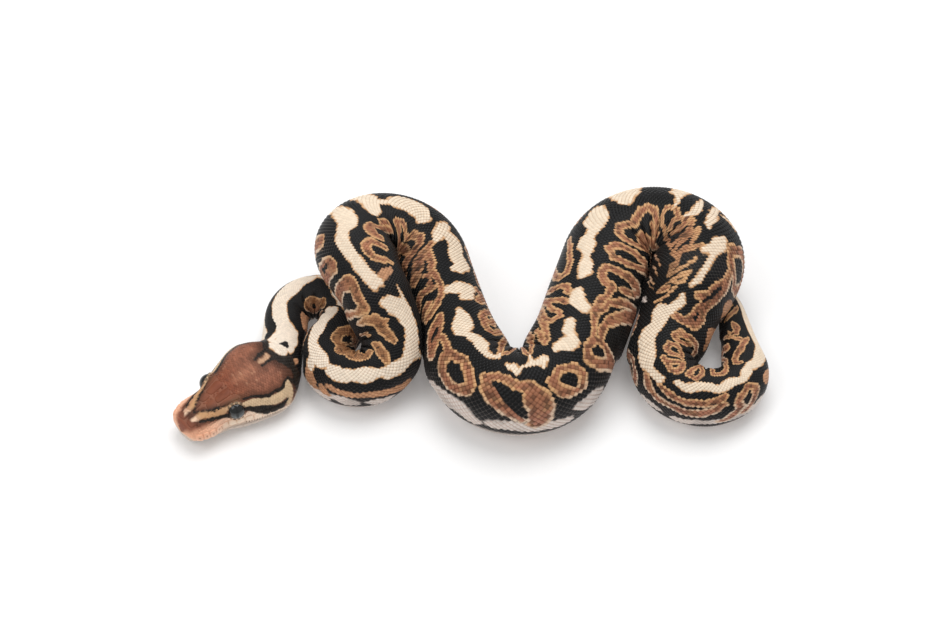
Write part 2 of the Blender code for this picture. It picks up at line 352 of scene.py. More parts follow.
def body_ring(body, along, angles, depth):
    """Ring round the body: round back, flat belly, narrower on the inside of a bend."""
    centre = body.at(along, body.centre)
    forward = body.at(along, body.forward)
    forward = forward / np.linalg.norm(forward)
    left = np.array([-forward[1], forward[0], 0.0])
    left = left / np.linalg.norm(left)
    upward = np.cross(forward, left)
    radius = body.at(along, body.radius)
    bend = body.at(along, body.bend)
    sideways = (radius - depth) * np.sin(angles)
    height = np.maximum((radius - depth) * np.cos(angles), -BELLY * radius + depth)
    curl = body.at(along, body.curl)
    swell = 1.0 + (INNER_SWELL - 1.0) * smoothstep(*SWELL_CURLS, abs(curl))
    inner = np.sign(curl) * sideways
    room = BEND_FILL / max(np.sign(curl) * bend, 1e-6) - depth
    sideways = np.where(inner > 0.0, np.sign(curl) * eased_limit(inner * swell, room), sideways)
    ring = centre + np.outer(sideways, left) + np.outer(height, upward)
    return pressed(body, ring, centre, radius, along, depth)


def head_sizes(back):
    """Half width, and crown, mouth and chin heights, at a distance back from the snout."""
    form = np.array(HEAD_FORM)
    near = back + HEAD_EASING * smoothstep(3.0, 9.0, back) * np.linspace(-1.0, 1.0, 7)
    return [np.interp(near, form[:, 0], column).mean() for column in form[:, 1:].T]


def head_place(body, back, left, height):
    """Points of the head at a distance behind the snout, left of its middle, above the floor."""
    forward = body.at(back, body.forward)
    middle = body.at(back, body.centre)
    across = np.array([-forward[1], forward[0]]) / math.hypot(forward[0], forward[1])
    flat = middle[:2] + np.outer(left, across)
    return np.column_stack([flat, height])


def head_ring(body, back, angles, depth):
    """Ring round the head: rounded crown and lips over a narrower lower jaw."""
    half_width, crown, mouth, chin = head_sizes(back)
    sine = np.sin(angles)
    cosine = np.cos(angles)
    upper = cosine > 0.0
    power = np.where(upper, 2 / CROWN_SQUARENESS, 2 / JAW_SQUARENESS)
    width = np.where(upper, half_width, half_width - JAW_INSET * (1 - np.abs(sine) ** 8)) - depth
    left = width * np.sign(sine) * np.abs(sine) ** power
    rise = (crown - depth - mouth) * np.abs(cosine) ** power
    drop = (mouth - chin - depth) * np.abs(cosine) ** power
    height = np.where(upper, mouth + rise, mouth - drop)
    size = max(0.03, math.sqrt(1.0 - max(0.0, 1.0 - back / TIP_ROUND) ** 2))
    ring = head_place(body, back, left * size, TIP_HEIGHT + (height - TIP_HEIGHT) * size)
    centre = head_place(body, back, [0.0], [HEAD_MIDDLE])[0]
    return pressed(body, ring, centre, half_width, back, depth)


def head_relief(back, turn):
    """Rise of the head's skin over its plain form, in millimetres."""
    side = np.abs(turn)
    rise = np.zeros(np.broadcast(back, turn).shape)
    for place, middle, length, breadth, height in HEAD_RELIEF:
        away = ((back - place) / length) ** 2 + ((side - middle) / breadth) ** 2
        rise = rise + height * np.exp(-away)
    mouth = np.exp(-((side - MOUTH_TURN) / 2.2) ** 2) * smoothstep(0.4, 1.6, back)
    tuck = smoothstep(MOUTH_TURN, 97.0, side) * smoothstep(150.0, 115.0, side)
    rise = rise - JAW_TUCK * tuck * smoothstep(0.5, 1.5, back) * smoothstep(14.0, 9.0, back)
    return rise - MOUTH_DEPTH * mouth * smoothstep(MOUTH_END + 1.0, MOUTH_END - 1.5, back)


def eye_frame(body, side):
    """Middle of an eye, where it looks, and the directions behind and above it, square to that."""
    forward = body.at(EYE_BACK, body.forward)
    backward = np.array([forward[0], forward[1], 0.0]) / math.hypot(forward[0], forward[1])
    outward = side * np.array([-backward[1], backward[0], 0.0])
    middle = head_place(body, EYE_BACK, [side * EYE_OUT], [EYE_HEIGHT])[0]
    lift = math.radians(GAZE_LIFT)
    ahead = math.radians(GAZE_FORWARD)
    level = math.cos(ahead) * outward - math.sin(ahead) * backward
    gaze = math.cos(lift) * level + np.array([0.0, 0.0, math.sin(lift)])
    upward = np.array([0.0, 0.0, 1.0]) - math.sin(lift) * gaze
    upward = upward / np.linalg.norm(upward)
    return middle, gaze, -side * np.cross(gaze, upward), upward


def seat_eye(points, middle, gaze):
    """Raise the skin into a lid round an eye, and draw it in behind the eyeball."""
    away = points - middle
    distance = np.linalg.norm(away, axis=-1)
    turned = np.degrees(np.arccos(np.clip(away @ gaze / np.maximum(distance, 0.01), -1.0, 1.0)))
    lid = EYE_RADIUS + LID_THICKNESS * smoothstep(118.0, 84.0, turned)
    lid = lid - 1.6 * smoothstep(EYE_OPENING + 4.0, EYE_OPENING - 10.0, turned)
    open_share = smoothstep(EYE_OPENING + 16.0, EYE_OPENING, turned)
    near = smoothstep(6.5, 4.0, distance) * smoothstep(112.0, 96.0, turned)
    softened = np.logaddexp(5.0 * distance, 5.0 * lid) / 5.0
    target = softened * (1.0 - open_share) + lid * open_share
    wanted = distance + near * (target - distance)
    return middle + away * (wanted / np.maximum(distance, 0.01))[..., None]


class Form:
    """The skin as a grid of points: rows along the body, and columns round it."""

    def __init__(self, body):
        tip = TIP_ROUND * np.linspace(0.0, 1.0, 9)[:-1] ** 2
        head_rows = np.concatenate([tip, np.arange(TIP_ROUND, HEAD_END + 2.0, HEAD_ROW)])
        body_rows = np.arange(HEAD_END + 2.0, body.length, BODY_ROW)
        self.along = np.concatenate([head_rows, body_rows, [body.length]])
        self.turn = np.linspace(-180.0, 180.0, SKIN_COLUMNS + 1)
        angles = np.radians(self.turn)
        rings = [self.ring(body, along, angles) for along in self.along]
        self.set_points(np.array(rings))
        self.set_points(self.points + self.normals * self.relief()[..., None])
        head = np.flatnonzero(self.along < HEAD_END)
        points = self.points
        for side in (-1, 1):
            middle, gaze, _, _ = eye_frame(body, side)
            points[head] = seat_eye(points[head], middle, gaze)
        self.set_points(points)

    def ring(self, body, along, angles):
        """Ring of the head, of the body, or between them at the nape."""
        share = float(smoothstep(HEAD_END - 7.0, HEAD_END + 1.0, along))
        depth = HEAD_DEPTH + (COAT_DEPTH - HEAD_DEPTH) * share
        if share >= 1.0:
            return body_ring(body, along, angles, depth)
        head = head_ring(body, along, angles, depth)
        if share <= 0.0:
            return head
        return head * (1.0 - share) + body_ring(body, along, angles, depth) * share

    def relief(self):
        """Rise over the plain form: the head's hollows and ridges, and folds inside tight bends."""
        along = self.along[:, None]
        turn = self.turn[None, :]
        head = head_relief(along, turn) * smoothstep(HEAD_END, HEAD_END - 4.0, along)
        tight = smoothstep(0.85, 0.30, self.stretch) * smoothstep(36.0, 40.0, along)
        wander = 1.3 * ripple(along + 0.0 * turn, turn * 0.12 + 0.0 * along, 5.0, 3)
        wave = 0.5 + 0.5 * np.cos(math.tau * (along + wander) / FOLD_PITCH)
        return head - FOLD_DEPTH * tight * wave ** 5

    def set_points(self, points):
        """Keep the grid, and work out the outward direction at each of its points."""
        self.points = points
        down = np.gradient(points, self.along, axis=0)
        wrapped = np.concatenate([points[:, -2:-1], points, points[:, 1:2]], axis=1)
        across = (wrapped[:, 2:] - wrapped[:, :-2]) / (2 * (self.turn[1] - self.turn[0]))
        normals = np.cross(across, down)
        size = np.linalg.norm(normals, axis=2, keepdims=True)
        self.normals = -normals / np.maximum(size, 1e-9)
        self.stretch = np.linalg.norm(down, axis=2)
        self.down = down
        self.across = across

    def sample(self, grid, along, turn):
        """Values of a grid at places on the skin, blended between its points."""
        row = np.interp(along, self.along, np.arange(len(self.along)))
        column = np.interp((turn + 180.0) % 360.0 - 180.0, self.turn, np.arange(len(self.turn)))
        top = np.minimum(row.astype(int), len(self.along) - 2)
        left = np.minimum(column.astype(int), len(self.turn) - 2)
        down = row - top
        across = column - left
        if grid.ndim == 3:
            down = down[..., None]
            across = across[..., None]
        near = grid[top, left] * (1 - across) + grid[top, left + 1] * across
        far = grid[top + 1, left] * (1 - across) + grid[top + 1, left + 1] * across
        return near * (1 - down) + far * down

    def place(self, along, turn, height):
        """Points at a height over the skin."""
        out = self.sample(self.normals, along, turn)
        return self.sample(self.points, along, turn) + out * height[..., None]


def ripple(along, across, size, seed):
    """Smooth seeded noise from -1 to 1 over the unrolled skin."""
    table = np.random.default_rng(seed).uniform(-1.0, 1.0, (257, 257))
    x = np.asarray(along) / size + 31.7
    y = np.asarray(across) / size + 67.3
    column = np.floor(x).astype(int)
    row = np.floor(y).astype(int)
    right = smoothstep(0.0, 1.0, x - column)
    up = smoothstep(0.0, 1.0, y - row)
    low = table[column % 256, row % 256] * (1 - right) + table[(column + 1) % 256, row % 256] * right
    column_up = table[column % 256, (row + 1) % 256] * (1 - right)
    high = column_up + table[(column + 1) % 256, (row + 1) % 256] * right
    return low * (1 - up) + high * up


# Markings. Every stroke is a run of points, each an along, a turn and a half width in millimetres,
# and it swells or narrows from one point to the next. Nose to tail.
CREAM_STROKES = (
    (29.4,-22,1.2, 29.3,-8,1.3, 29.3,5,1.2),
    (31.2,-34,1.4, 31,-10,1.6, 31.2,12,1.2, 32.6,20,1.4, 34.2,14,1.7, 36,8,1.2),
    (33.5,-38,1.8, 36,-38,1.8),
    (30.2,-10,2.5, 32.5,-12,3.6, 35.2,-18,4.3, 37,-6,3.8, 39.5,4,3.1, 42,12,3.5, 45.5,18,3.7,
     49.5,16,4.5, 52.2,24,4, 52.8,42,1.6),
    (35,46,1.4, 37.5,64,2.4, 40.5,76,2.6, 44,92,2.4),
    (56.2,60,0.6, 56.7,20,0.9, 59.5,0,1.1, 63,-9,1.7, 67,-8,1.7, 69,6,1),
    (68.3,-42,1.7, 71.2,-32,3.6, 74.5,-37,3.5, 78,-28,3.1, 81.5,-31,2.1, 85.5,-26,3, 87.2,-27,1.1),
    (84.4,-36,1.4, 85.2,-56,1.1),
    (89.3,-26,1.6, 91.2,-32,3, 93.3,-29,1.7, 95.6,-31,2.9, 98.5,-36,1.5, 100.6,-43,2.4, 102.6,-52,2.1,
     104.8,-51,2.5, 107.3,-40,2.4, 110,-29,2.2, 112.5,-18,2.8, 114.2,0,2.1, 115.2,12,1),
    (105,-62,1, 105.3,-80,0.5, 105.2,-92,0.3),
    (113,-26,1.6, 115,-27,0.6, 117,-26,0.3),
    (118.2,0,0.8, 119.2,12,1.8, 121.5,18,1.8, 125,20,1.7, 128.5,20,2, 130.8,12,1.8, 132.5,4,2.6,
     134.6,13,2.2, 136.2,28,1.5, 137.4,45,1.1, 138.4,60,1),
    (138.6,-17,1.3, 140,-8,2.1, 141.2,4,2.2, 142,22,2, 142.4,46,1.8),
    (143.5,4,1.2, 145.5,5,0.9, 147.6,9,2.3, 150.2,15,3, 152.6,15,3, 154.4,8,2.2, 154.4,0,1.2),
    (158.5,36,1, 158.7,22,1.4, 159.8,13,1.7, 161.3,5,0.9),
    (160,25,1.3, 162.8,38,2.4, 166,33,2.3, 169.4,37,2.9, 171.2,29,1.9, 171.6,18,0.9),
    (177.8,36,1.7, 178,18,2.4, 178.1,2,1.5, 178.6,-4,0.9),
    (178.5,28,2, 180.3,26,1.9, 181.3,17,1.1),
    (185.2,4,0.8, 188,4,2.1, 190.4,-2,2.6, 191.8,-9,1.4, 193.6,3,1.2, 196,11,1.6, 198,12,1.8,
     200.6,7,0.9, 203,6,0.8, 204.6,10,0.9, 204.3,17,0.5),
    (207.9,1,0.6, 209.5,-2,1.4, 210.4,-9,0.8, 211.6,0,0.5, 214,3,0.8, 216,2,1.1, 217.6,2,1.2,
     216.4,-7,0.6),
    (214.2,5,0.9, 214.6,15,0.5),
    (221.5,4,0.7, 223.2,5,1.5, 225,-4,2.2, 226.2,-9,1.3, 228,4,1.3, 230.5,4,1.3, 231.6,5,1.1),
    (235.4,-8,0.9, 236.6,-4,1.7, 238,8,1.8, 240,10,1.6, 241.3,9,0.9),
    (245.3,13,0.9, 247.2,10,1.7, 249.6,12,1.6, 252,16,0.8, 254,18,1.5, 256,22,2.3, 258,23,1.8,
     260.2,20,1.5, 262.5,18,1.9, 264.6,24,2.9, 266,30,2, 266.4,38,1.4),
    (272,16,2, 272.6,30,2.8, 273,50,2.9),
    (281.6,50,1.4, 282,28,1.6, 282.8,14,0.9, 283.3,3,0.6, 283.4,-5,0.5),
    (285.8,40,0.4, 286.6,24,0.8, 288,11,1.2, 288.8,2,1.1, 288.2,-6,0.8),
    (287.7,54,0.6, 289.3,34,0.9, 291.4,20,1.2, 293.2,11,1, 295,7,0.5),
    (290.4,44,0.5, 291.4,60,1),
    (297.2,27,1, 298.7,22,1.8, 300.2,16,1.5, 300.9,5,0.8),
    (300.8,20,1, 303.4,20,1, 305.4,17,0.9, 307,10,0.6),
    (309.6,4,0.8, 311.3,7,1.3, 313,2,1.5, 315,-6,1.7, 316.4,-18,2.9, 320,-17,2.1, 323,-30,2.7,
     326,-33,2.9, 327.2,-40,2.5, 329.6,-41,1.4, 331.6,-39,1.4, 332.1,-33,0.7),
    (335.3,-26,1.1, 337,-26,1.5, 339.4,-17,1.6, 341,-15,1.5, 342.5,-21,1.5, 344.5,-17,1.6,
     346.4,-10,1.8, 348,-16,1.5, 349.6,-19,1.4, 351.5,-10,2.1, 353.2,-9,1.8, 354.6,-18,1.9, 356.5,-28,2.3,
     359,-42,2.7, 361,-52,3.2, 366,-52,3.6, 371,-50,3.8, 376,-48,2.8, 380,-44,2.4,
     385,-40,1.8, 389.5,-38,1.2),
)

# Tan tongues and half-pale strokes low on the sides.
TAN_STROKES = (
    (43,-54,1.6, 42,-66,2.6, 42.5,-80,2.6, 45.5,-94,2.2),
    (85,-56,1.1, 86.2,-72,1.3, 86.6,-88,1.5),
    (119,-4,1, 119.6,-18,0.7, 119.4,-29,0.4),
    (90,-66,1, 92.5,-72,0.9, 95,-74,1.1, 97,-78,1.3, 99,-86,1.2, 100.8,-94,1.3, 101.3,-108,1),
    (88.6,-72,0.6, 89.2,-88,0.9),
    (29.2,-50,0.5, 29.7,-57,0.55, 30,-63,0.35),
    (353.8,-60,1.3, 354.5,-72,1.5, 355.2,-84,1.4),
    (304.6,104,1.5, 306,86,1.5, 307.6,96,1),
    (311.6,104,1.5, 314,80,1.8, 316.4,84,1.5),
)

# Brown loops, rings and bars of the flanks, nose to tail down the right side and then the left.
BROWN_STROKES = (
    (49.5,-58,2.2, 53,-60,4.1, 56.5,-62,3.5, 58.5,-58,2.2, 60.5,-48,2.2, 62.8,-52,1.5),
    (120.9,-38,0.4, 121.5,-22,0.6, 122.3,-10,0.8, 124,-5,0.9, 125.8,-8,0.9, 126.3,-18,0.8, 125,-30,0.8,
     124,-38,0.7),
    (127,-40,0.8, 128.3,-30,1.4, 130,-28,1.5, 131.8,-33,1.3, 132.5,-45,1.2, 134.5,-53,1.2,
     138,-50,1.3, 141.5,-46,0.7),
    (135.5,-42,0.5, 138,-36,0.9, 141,-35,0.9, 142.8,-42,0.6),
    (145.3,-30,0.7, 147,-23,0.8, 149.5,-22,0.8, 151.5,-26,0.7, 153.5,-31,0.6, 155.3,-32,0.6,
     156.2,-22,1, 158.5,-14,1, 160.5,-17,0.9, 162,-24,0.9, 164,-33,0.9, 165.5,-42,0.8,
     167.5,-50,0.7),
    (147.2,-30,1, 149.2,-41,1.4, 151.2,-50,1.2, 154,-50,1.3, 157,-45,1.3, 160,-39,1.2,
     162,-36,0.6),
    (155,-66,0.9, 158.4,-60,1.3, 161.2,-54,0.8),
    (161.7,-1,0.8, 163.5,-9,0.8, 166,-10,0.9, 168.5,-9,0.8, 170.6,-14,0.8, 172.2,-11,0.9, 174.6,-9,0.8,
     177,-9,0.8, 179.2,-14,0.7, 181.2,-24,1, 182.6,-36,1, 183.6,-50,0.8),
    (163.2,-11,0.6, 165.5,-21,0.8, 168.2,-28,1.1, 170.4,-35,1, 172,-46,0.6),
    (171.4,-14,0.9, 171.8,-24,0.7, 173.6,-23,0.7, 175.6,-20,0.8, 175.6,-36,1, 176.6,-50,1,
     178.4,-58,1),
    (179.3,-30,0.6, 180.4,-44,1, 181.8,-54,1.1),
    (185.3,-25,0.9, 187.8,-38,2.1, 190.5,-52,2.2, 193,-60,1.3),
    (190.4,-40,0.9, 191.6,-32,0.8, 193.6,-31,0.8, 195.8,-34,1.1),
    (199,-22,1, 201.6,-30,1.1, 203,-45,1, 202,-58,1.2, 199.8,-63,1.1, 197.3,-58,1.2,
     196,-45,1.1, 196.4,-33,1.2, 199,-22,1),
    (211.2,-79,0.6, 209.8,-66,1.1, 207.7,-52,1.4, 205.9,-38,1.3, 204.9,-26,1, 206.6,-19,0.9,
     208.8,-22,1, 210.6,-29,1.1, 212.6,-30,1.2, 213.6,-46,2, 214,-64,2, 213.5,-84,1.7),
    (219,-20,0.9, 221.3,-28,0.9, 222,-45,0.8, 220.8,-58,0.9, 218.8,-57,0.9, 217.2,-45,0.9,
     216.8,-30,0.9, 219,-20,0.9),
    (229.6,-98,1.2, 229,-82,1.2, 228.8,-66,1.3, 229.6,-48,0.9, 229.3,-34,0.9, 226.4,-27,0.9,
     224.6,-36,0.9, 225.2,-52,1, 226.8,-66,1.3, 228.3,-82,1),
    (229.5,-31,0.6, 232,-27,0.6, 234.5,-23,0.7, 236.2,-20,1, 238,-21,0.9, 240,-22,0.9,
     241.3,-27,0.7, 243,-29,0.8, 245.5,-30,1.1),
    (230.3,-42,0.8, 232.5,-38,0.9, 235,-41,0.9, 237,-46,1.3, 239,-56,1.4, 241.5,-66,1.6,
     243.6,-79,1.8, 245.4,-96,1.6),
    (236.8,-24,0.8, 238.5,-30,0.8, 240.8,-34,0.7, 241.6,-42,0.9, 243.5,-52,1, 244.8,-66,1,
     245.6,-84,1.2),
    (245.5,-32,1, 245.4,-22,1.1, 246.4,-15,1, 248.4,-12,0.9, 250.2,-15,0.9, 250.5,-28,1,
     250.9,-45,1.1, 250.7,-60,1.4, 250.2,-70,1, 247.8,-60,1, 246.8,-50,1, 246.4,-44,0.6),
    (256.8,-68,0.9, 257.7,-52,0.8, 258,-34,0.8, 257.9,-16,0.9, 256,-8,0.8, 253.8,-18,1, 254.2,-38,0.9,
     255.6,-56,0.9, 257,-70,1.1, 258.8,-82,1.1, 260.6,-97,1),
    (262,-14,0.9, 264.5,-10,0.8, 266.5,-15,0.8, 269,-20,0.8, 271.5,-18,0.9, 273.2,-12,0.9, 276,-8,0.9,
     278,-13,0.9, 279.3,-25,1.1, 280.5,-40,1.2, 281.4,-50,0.8, 279,-55,1, 275.5,-53,1,
     272.5,-46,1.1, 270.5,-38,1, 267,-40,1.1, 264,-44,1.3, 262,-46,1.1, 261,-35,1.1,
     261,-22,1, 262,-14,0.9),
    (262.2,-52,0.9, 265,-55,1.2, 268,-50,1.5, 272,-50,1.2),
    (277.2,-31,0.8, 278.2,-42,1.1),
    (275,-57,0.9, 280,-61,1, 285,-63,0.6, 290,-64,0.5, 297,-68,0.5),
    (283.4,-3,0.5, 281.5,-9,0.6, 281.3,-20,0.5, 282.6,-29,0.5, 284.5,-35,0.4, 288,-40,0.35, 292,-45,0.4,
     296,-48,0.4, 300,-45,0.3, 301.6,-38,0.2),
    (280.4,-44,0.7, 283,-45,0.5),
    (283.4,-4,0.5, 285.4,-10,0.6, 287.6,-16,0.6, 286.2,-21,0.7, 286.8,-28,0.7, 288.6,-33,0.4),
    (288.4,-4,1, 289.6,-12,0.9, 291.4,-19,0.8, 292.8,-26,0.7, 294.4,-34,0.4),
    (289.8,-24,0.4, 291,-30,0.5, 293.5,-38,0.3),
    (290.6,-6,0.4, 293,-11,0.5, 295.2,-16,0.6, 297.4,-22,0.7, 299,-30,0.4, 301.2,-37,0.2),
    (294.3,-4,0.2, 296,-7,0.35, 298,-10,0.35, 300.3,-12,0.3),
    (296,-12,0.15, 298.2,-18,0.4, 299.8,-24,0.4, 301.8,-30,0.3, 302.7,-32,0.4, 303,-25,0.35,
     302.2,-20,0.25),
    (300.2,0,0.4, 301.2,-8,0.5, 301.6,-16,0.4, 302.6,-20,0.3, 304.4,-20,0.4, 305.2,-26,0.35,
     306.6,-28,0.15),
    (302.6,2,0.15, 303.6,-1,0.25, 304.6,-8,0.2, 305.4,-16,0.3, 306.2,-24,0.3),
    (305,3,0.2, 305.8,-4,0.3, 306.6,-12,0.25, 307.6,-20,0.2, 308.4,-28,0.1),
    (305.6,1,0.15, 306.8,-1,0.25, 307.4,-8,0.25, 307.6,-15,0.1),
    (308.4,-9,0.25, 309.6,-14,0.3, 311.2,-20,0.35, 312.6,-27,0.35, 313.6,-36,0.2),
    (308.8,-19,0.3, 309.6,-27,0.7, 310.4,-36,0.6),
    (305,-45,0, 303.2,-58,0.1, 301,-72,0.05),
    (306.6,-47,0.05, 305.4,-55,0.1, 304.4,-63,0.05),
    (308.2,-50,0, 307,-62,0.1, 305.6,-78,0.1),
    (309.6,-48,0.05, 308.6,-57,0.1, 307.4,-66,0.05),
    (326.4,-104,0.9, 324.2,-88,0.8, 324,-78,0.8, 325.6,-71,0.8, 327.4,-76,0.8, 328,-90,0.8,
     327.4,-104,0.8),
    (333,-48,0.8, 334.6,-52,1, 337,-55,0.9, 339.5,-52,1, 341.6,-48,1.3, 343.5,-40,1,
     344,-34,0.5),
    (329.8,-54,0.7, 330.8,-66,1, 333,-74,1, 335,-72,0.9, 337.5,-76,1.2, 340,-73,1.2,
     342,-65,1.1, 343.3,-54,0.9),
    (343.5,-95,1.1, 345,-85,1.1, 346.3,-72,0.9, 345.9,-58,0.8, 347.3,-45,0.9, 348.9,-37,0.9,
     350.2,-48,0.8, 350,-62,0.9, 348.7,-76,1, 347,-90,0.9),
    (74.9,80,0.6, 74.5,58,1, 74.6,38,1.3, 76.4,24,1.6, 80,22,1.9, 82.6,29,1.4, 84.6,32,1.9, 87.2,22,2,
     89.5,28,1.9, 92,26,2.5, 95,14,2, 97.5,13,1.6, 100.2,18,0.9),
    (75.6,74,0.7, 78.4,55,0.6, 81.5,40,1.1, 85,46,1.8, 90,42,2.3, 93.5,38,1.9),
    (101.2,-24,0.6, 101.7,-8,1.1, 102.4,5,1.3, 103.6,18,1.2, 104.3,28,0.5),
    (105.9,-8,0.7, 106.8,5,1.1, 108.5,18,1.3, 110.6,26,1.5, 112.5,32,1.5, 113.8,50,0.9, 113.8,68,0.4),
    (111,24,1.2, 111.4,15,0.6),
    (107.5,46,0.5, 110,58,0.7, 110.6,76,0.6),
    (116.8,110,0.9, 116.6,85,0.9, 115.9,62,0.7, 115.9,41,1, 118.5,47,1.4, 120.6,47,1.8, 121.8,68,1.3,
     121.5,90,1.7, 121.5,110,1.8),
    (126.8,60,2.1, 127.6,80,2, 128.2,108,2),
    (131.6,52,0.9, 132.3,66,1.3, 133.2,90,1.3),
    (170,74,1.2, 174,68,1.1),
    (177.4,52,1, 179,62,1.7, 181.6,45,1.1, 182.3,38,0.4),
    (180,66,1.4, 181,80,1.4),
    (182.6,80,0.7, 183.4,66,0.8, 185,54,1, 186.4,40,0.9, 188,33,0.9, 190.4,31,0.9, 192.8,34,0.9,
     193.6,39,0.7, 192,52,0.8, 190.4,66,0.8, 189.6,80,0.8),
    (188.8,38,1.3, 189.6,46,0.9, 187.4,58,0.8, 185.8,74,0.9),
    (190.9,78,0.4, 193.5,62,0.7, 196,54,1, 199,44,1.1, 201.5,37,1, 203.4,26,0.8, 204.4,17,0.5),
    (205.2,20,0.6, 206.6,27,0.9, 207.8,38,1.2, 207.4,56,1.5),
    (214.6,16,0.5, 213.3,28,0.9, 213.5,42,1.1, 214.5,60,1.3),
    (215,22,0.6, 217,32,0.7, 219.5,41,0.8, 222.5,51,0.9, 226,62,0.9),
    (222,24,0.6, 225,26,0.7, 228,31,0.8, 230.6,40,0.7, 233,52,0.6, 235.5,66,0.6, 237.2,80,0.6),
    (223.4,31,0.8, 226.5,38,0.7, 229,48,0.5),
    (226,52,0.8, 228.5,62,0.8, 231,78,0.8),
    (239.2,80,0.8, 237.5,68,0.8, 235,55,0.7, 232.4,42,0.7, 231,30,0.6, 232.5,21,0.7, 234,24,0.6,
     234.8,35,0.6, 236.4,45,0.6, 238.2,51,1, 239.6,62,1, 241.6,80,0.8),
    (237.1,20,0.8, 238,30,0.7, 238.2,42,0.7, 239,54,1),
    (240,22,0.6, 242,27,0.9, 242.8,38,0.8, 242.3,50,1, 243,62,0.9, 244.2,80,0.8),
    (252.6,80,0.9, 249.6,68,0.9, 247,57,1, 245.8,44,0.8, 246.8,35,0.8, 250,36,0.7, 253.5,42,0.7,
     257,50,0.7, 260,58,0.6),
    (299.8,45,0.9, 298.2,40,1, 296.9,55,1.1, 296,68,0.9, 297.5,82,1, 299.4,94,1.1, 301.6,88,1.2,
     302,74,0.8, 301,63,0.6, 300.6,53,0.8, 299.8,45,0.9),
    (301.4,54,1, 304.5,56,1.7, 307.4,45,2, 309.8,42,1.5, 313,39,2.3, 315.2,36,2, 316.3,18,1.1,
     316.2,5,0.9),
    (307.6,34,1, 308.3,25,0.8),
    (328.4,58,0.4, 325,63,0.8, 322,67,0.8, 319.8,60,0.9, 319.4,42,0.9, 320,23,1.1, 321.6,15,0.9,
     323,26,0.9, 323,36,0.9, 321.4,47,0.8),
    (331.4,21,0.4, 329,27,0.7, 326.8,28,0.7, 325,22,0.8, 324.9,10,0.8, 326.4,3,0.9, 328,6,0.8,
     329.4,17,0.7, 331.2,23,0.4),
    (329,-8,0.8, 330.4,-3,0.8, 331.5,8,0.8, 332.8,16,0.8, 333.8,5,0.8, 333.5,-8,0.8, 332,-11,0.8,
     330.4,-7,0.8),
    (336,0,0.7, 336.2,12,0.8, 336.8,28,0.8, 338.3,39,1.1, 339.4,25,0.8, 339.3,10,0.8, 338,-3,0.8,
     336,0,0.7),
    (338.4,42,1.2, 338.6,56,1.2),
    (344.6,56,0.8, 343.7,40,0.8, 342.8,26,0.8, 343,15,0.8, 345.6,15,0.8, 348.5,26,0.8, 351,40,0.7,
     353.5,52,0.7, 356.5,66,0.7),
    (354,12,0.7, 353.3,23,1, 355.5,29,1.2, 358,26,1.4, 359.8,14,1.5, 361.5,6,1.1, 363,-8,0.9,
     363.8,-18,0.4),
    (354.6,50,0.7, 357,56,0.9, 359,68,0.8, 360.4,84,0.8),
    (362.4,50,1.3, 362.6,66,1.3, 361.6,86,1),
    (363.2,6,0.8, 364.8,25,0.5, 366,45,0.5, 366.3,62,0.5),
    (367.2,40,0.4, 366.6,28,0.6, 366.4,12,0.9, 368.2,12,1.6, 369.2,16,1, 368,3,0.9),
    (371,42,0.4, 372,25,0.6, 373.2,10,0.6, 374.5,-6,0.8, 375.5,-18,0.6),
    (372.8,66,0.7, 373.8,42,0.7, 374.6,22,0.5, 376.5,2,0.4),
    (379,66,0.8, 380,30,0.9, 381.5,0,0.7),
    (385.5,50,0.7, 386.2,10,0.7),
)

# Loops of the flanks that face away or lie between coils: middles, as (along, turn).
FLANK_LOOPS = ((62, 88), (73.5, 100), (144, 86), (154, 80), (164.5, 88), (256, 100),
               (266, 82), (277, 88), (288, 80), (66, -92), (78, -86), (158, -94),
               (170, -92), (262, -92), (273, -88), (318, -84))
# Middles of the two fans of fine creased streaks, which are duller and carry painted shade in their
# creases.
FANS = (166, 298)

# Black that lies over the rest: centres of the loops and notches in the pale patches.
BLACK_STROKES = (
    (30.9,-6,0.35, 31.1,-12,0.65, 31.5,-18,0.95, 31,-24,0.5),
    (35.6,38,1.5, 37.6,26,1.6, 40.5,45,2.2, 43.5,58,2.4),
    (54.2,-62,1.2, 55.8,-66,0.8),
    (61.3,-52,0.6, 61.8,-53,0.4),
    (75.7,52,0.6, 77.5,44,0.9, 78.7,38,0.5),
    (103.1,13,0.4, 103.3,10,0.3),
    (117.6,62,0.6, 119.6,68,0.8),
    (127.9,66,0.4, 128.1,82,0.5),
    (128.4,-40,0.3, 130.4,-38,0.3),
    (150.4,-38,0.5, 153.2,-40,0.6),
    (174,-17,0.5, 174.6,-17,0.4),
    (177.6,-22,0.6, 178.2,-30,1, 177.6,-38,0.5),
    (172.8,-28,0.8, 174.2,-34,0.5),
    (188,-36,0.5, 189.4,-46,0.6, 190.2,-53,0.3),
    (206.4,-28,0.4, 208,-37,0.9, 209.4,-46,1.2, 210.6,-58,0.9, 211.9,-74,0.4),
    (304.8,52,0.4, 307,45,0.5, 308.4,38,0.4),
    (312.3,36,0.4, 314,36,0.5),
    (341.5,-51,0.3, 342,-52,0.3),
    (362.7,69,0.4, 362.8,66,0.3),
    (366.2,31,0.3, 366.4,24,0.3),
)

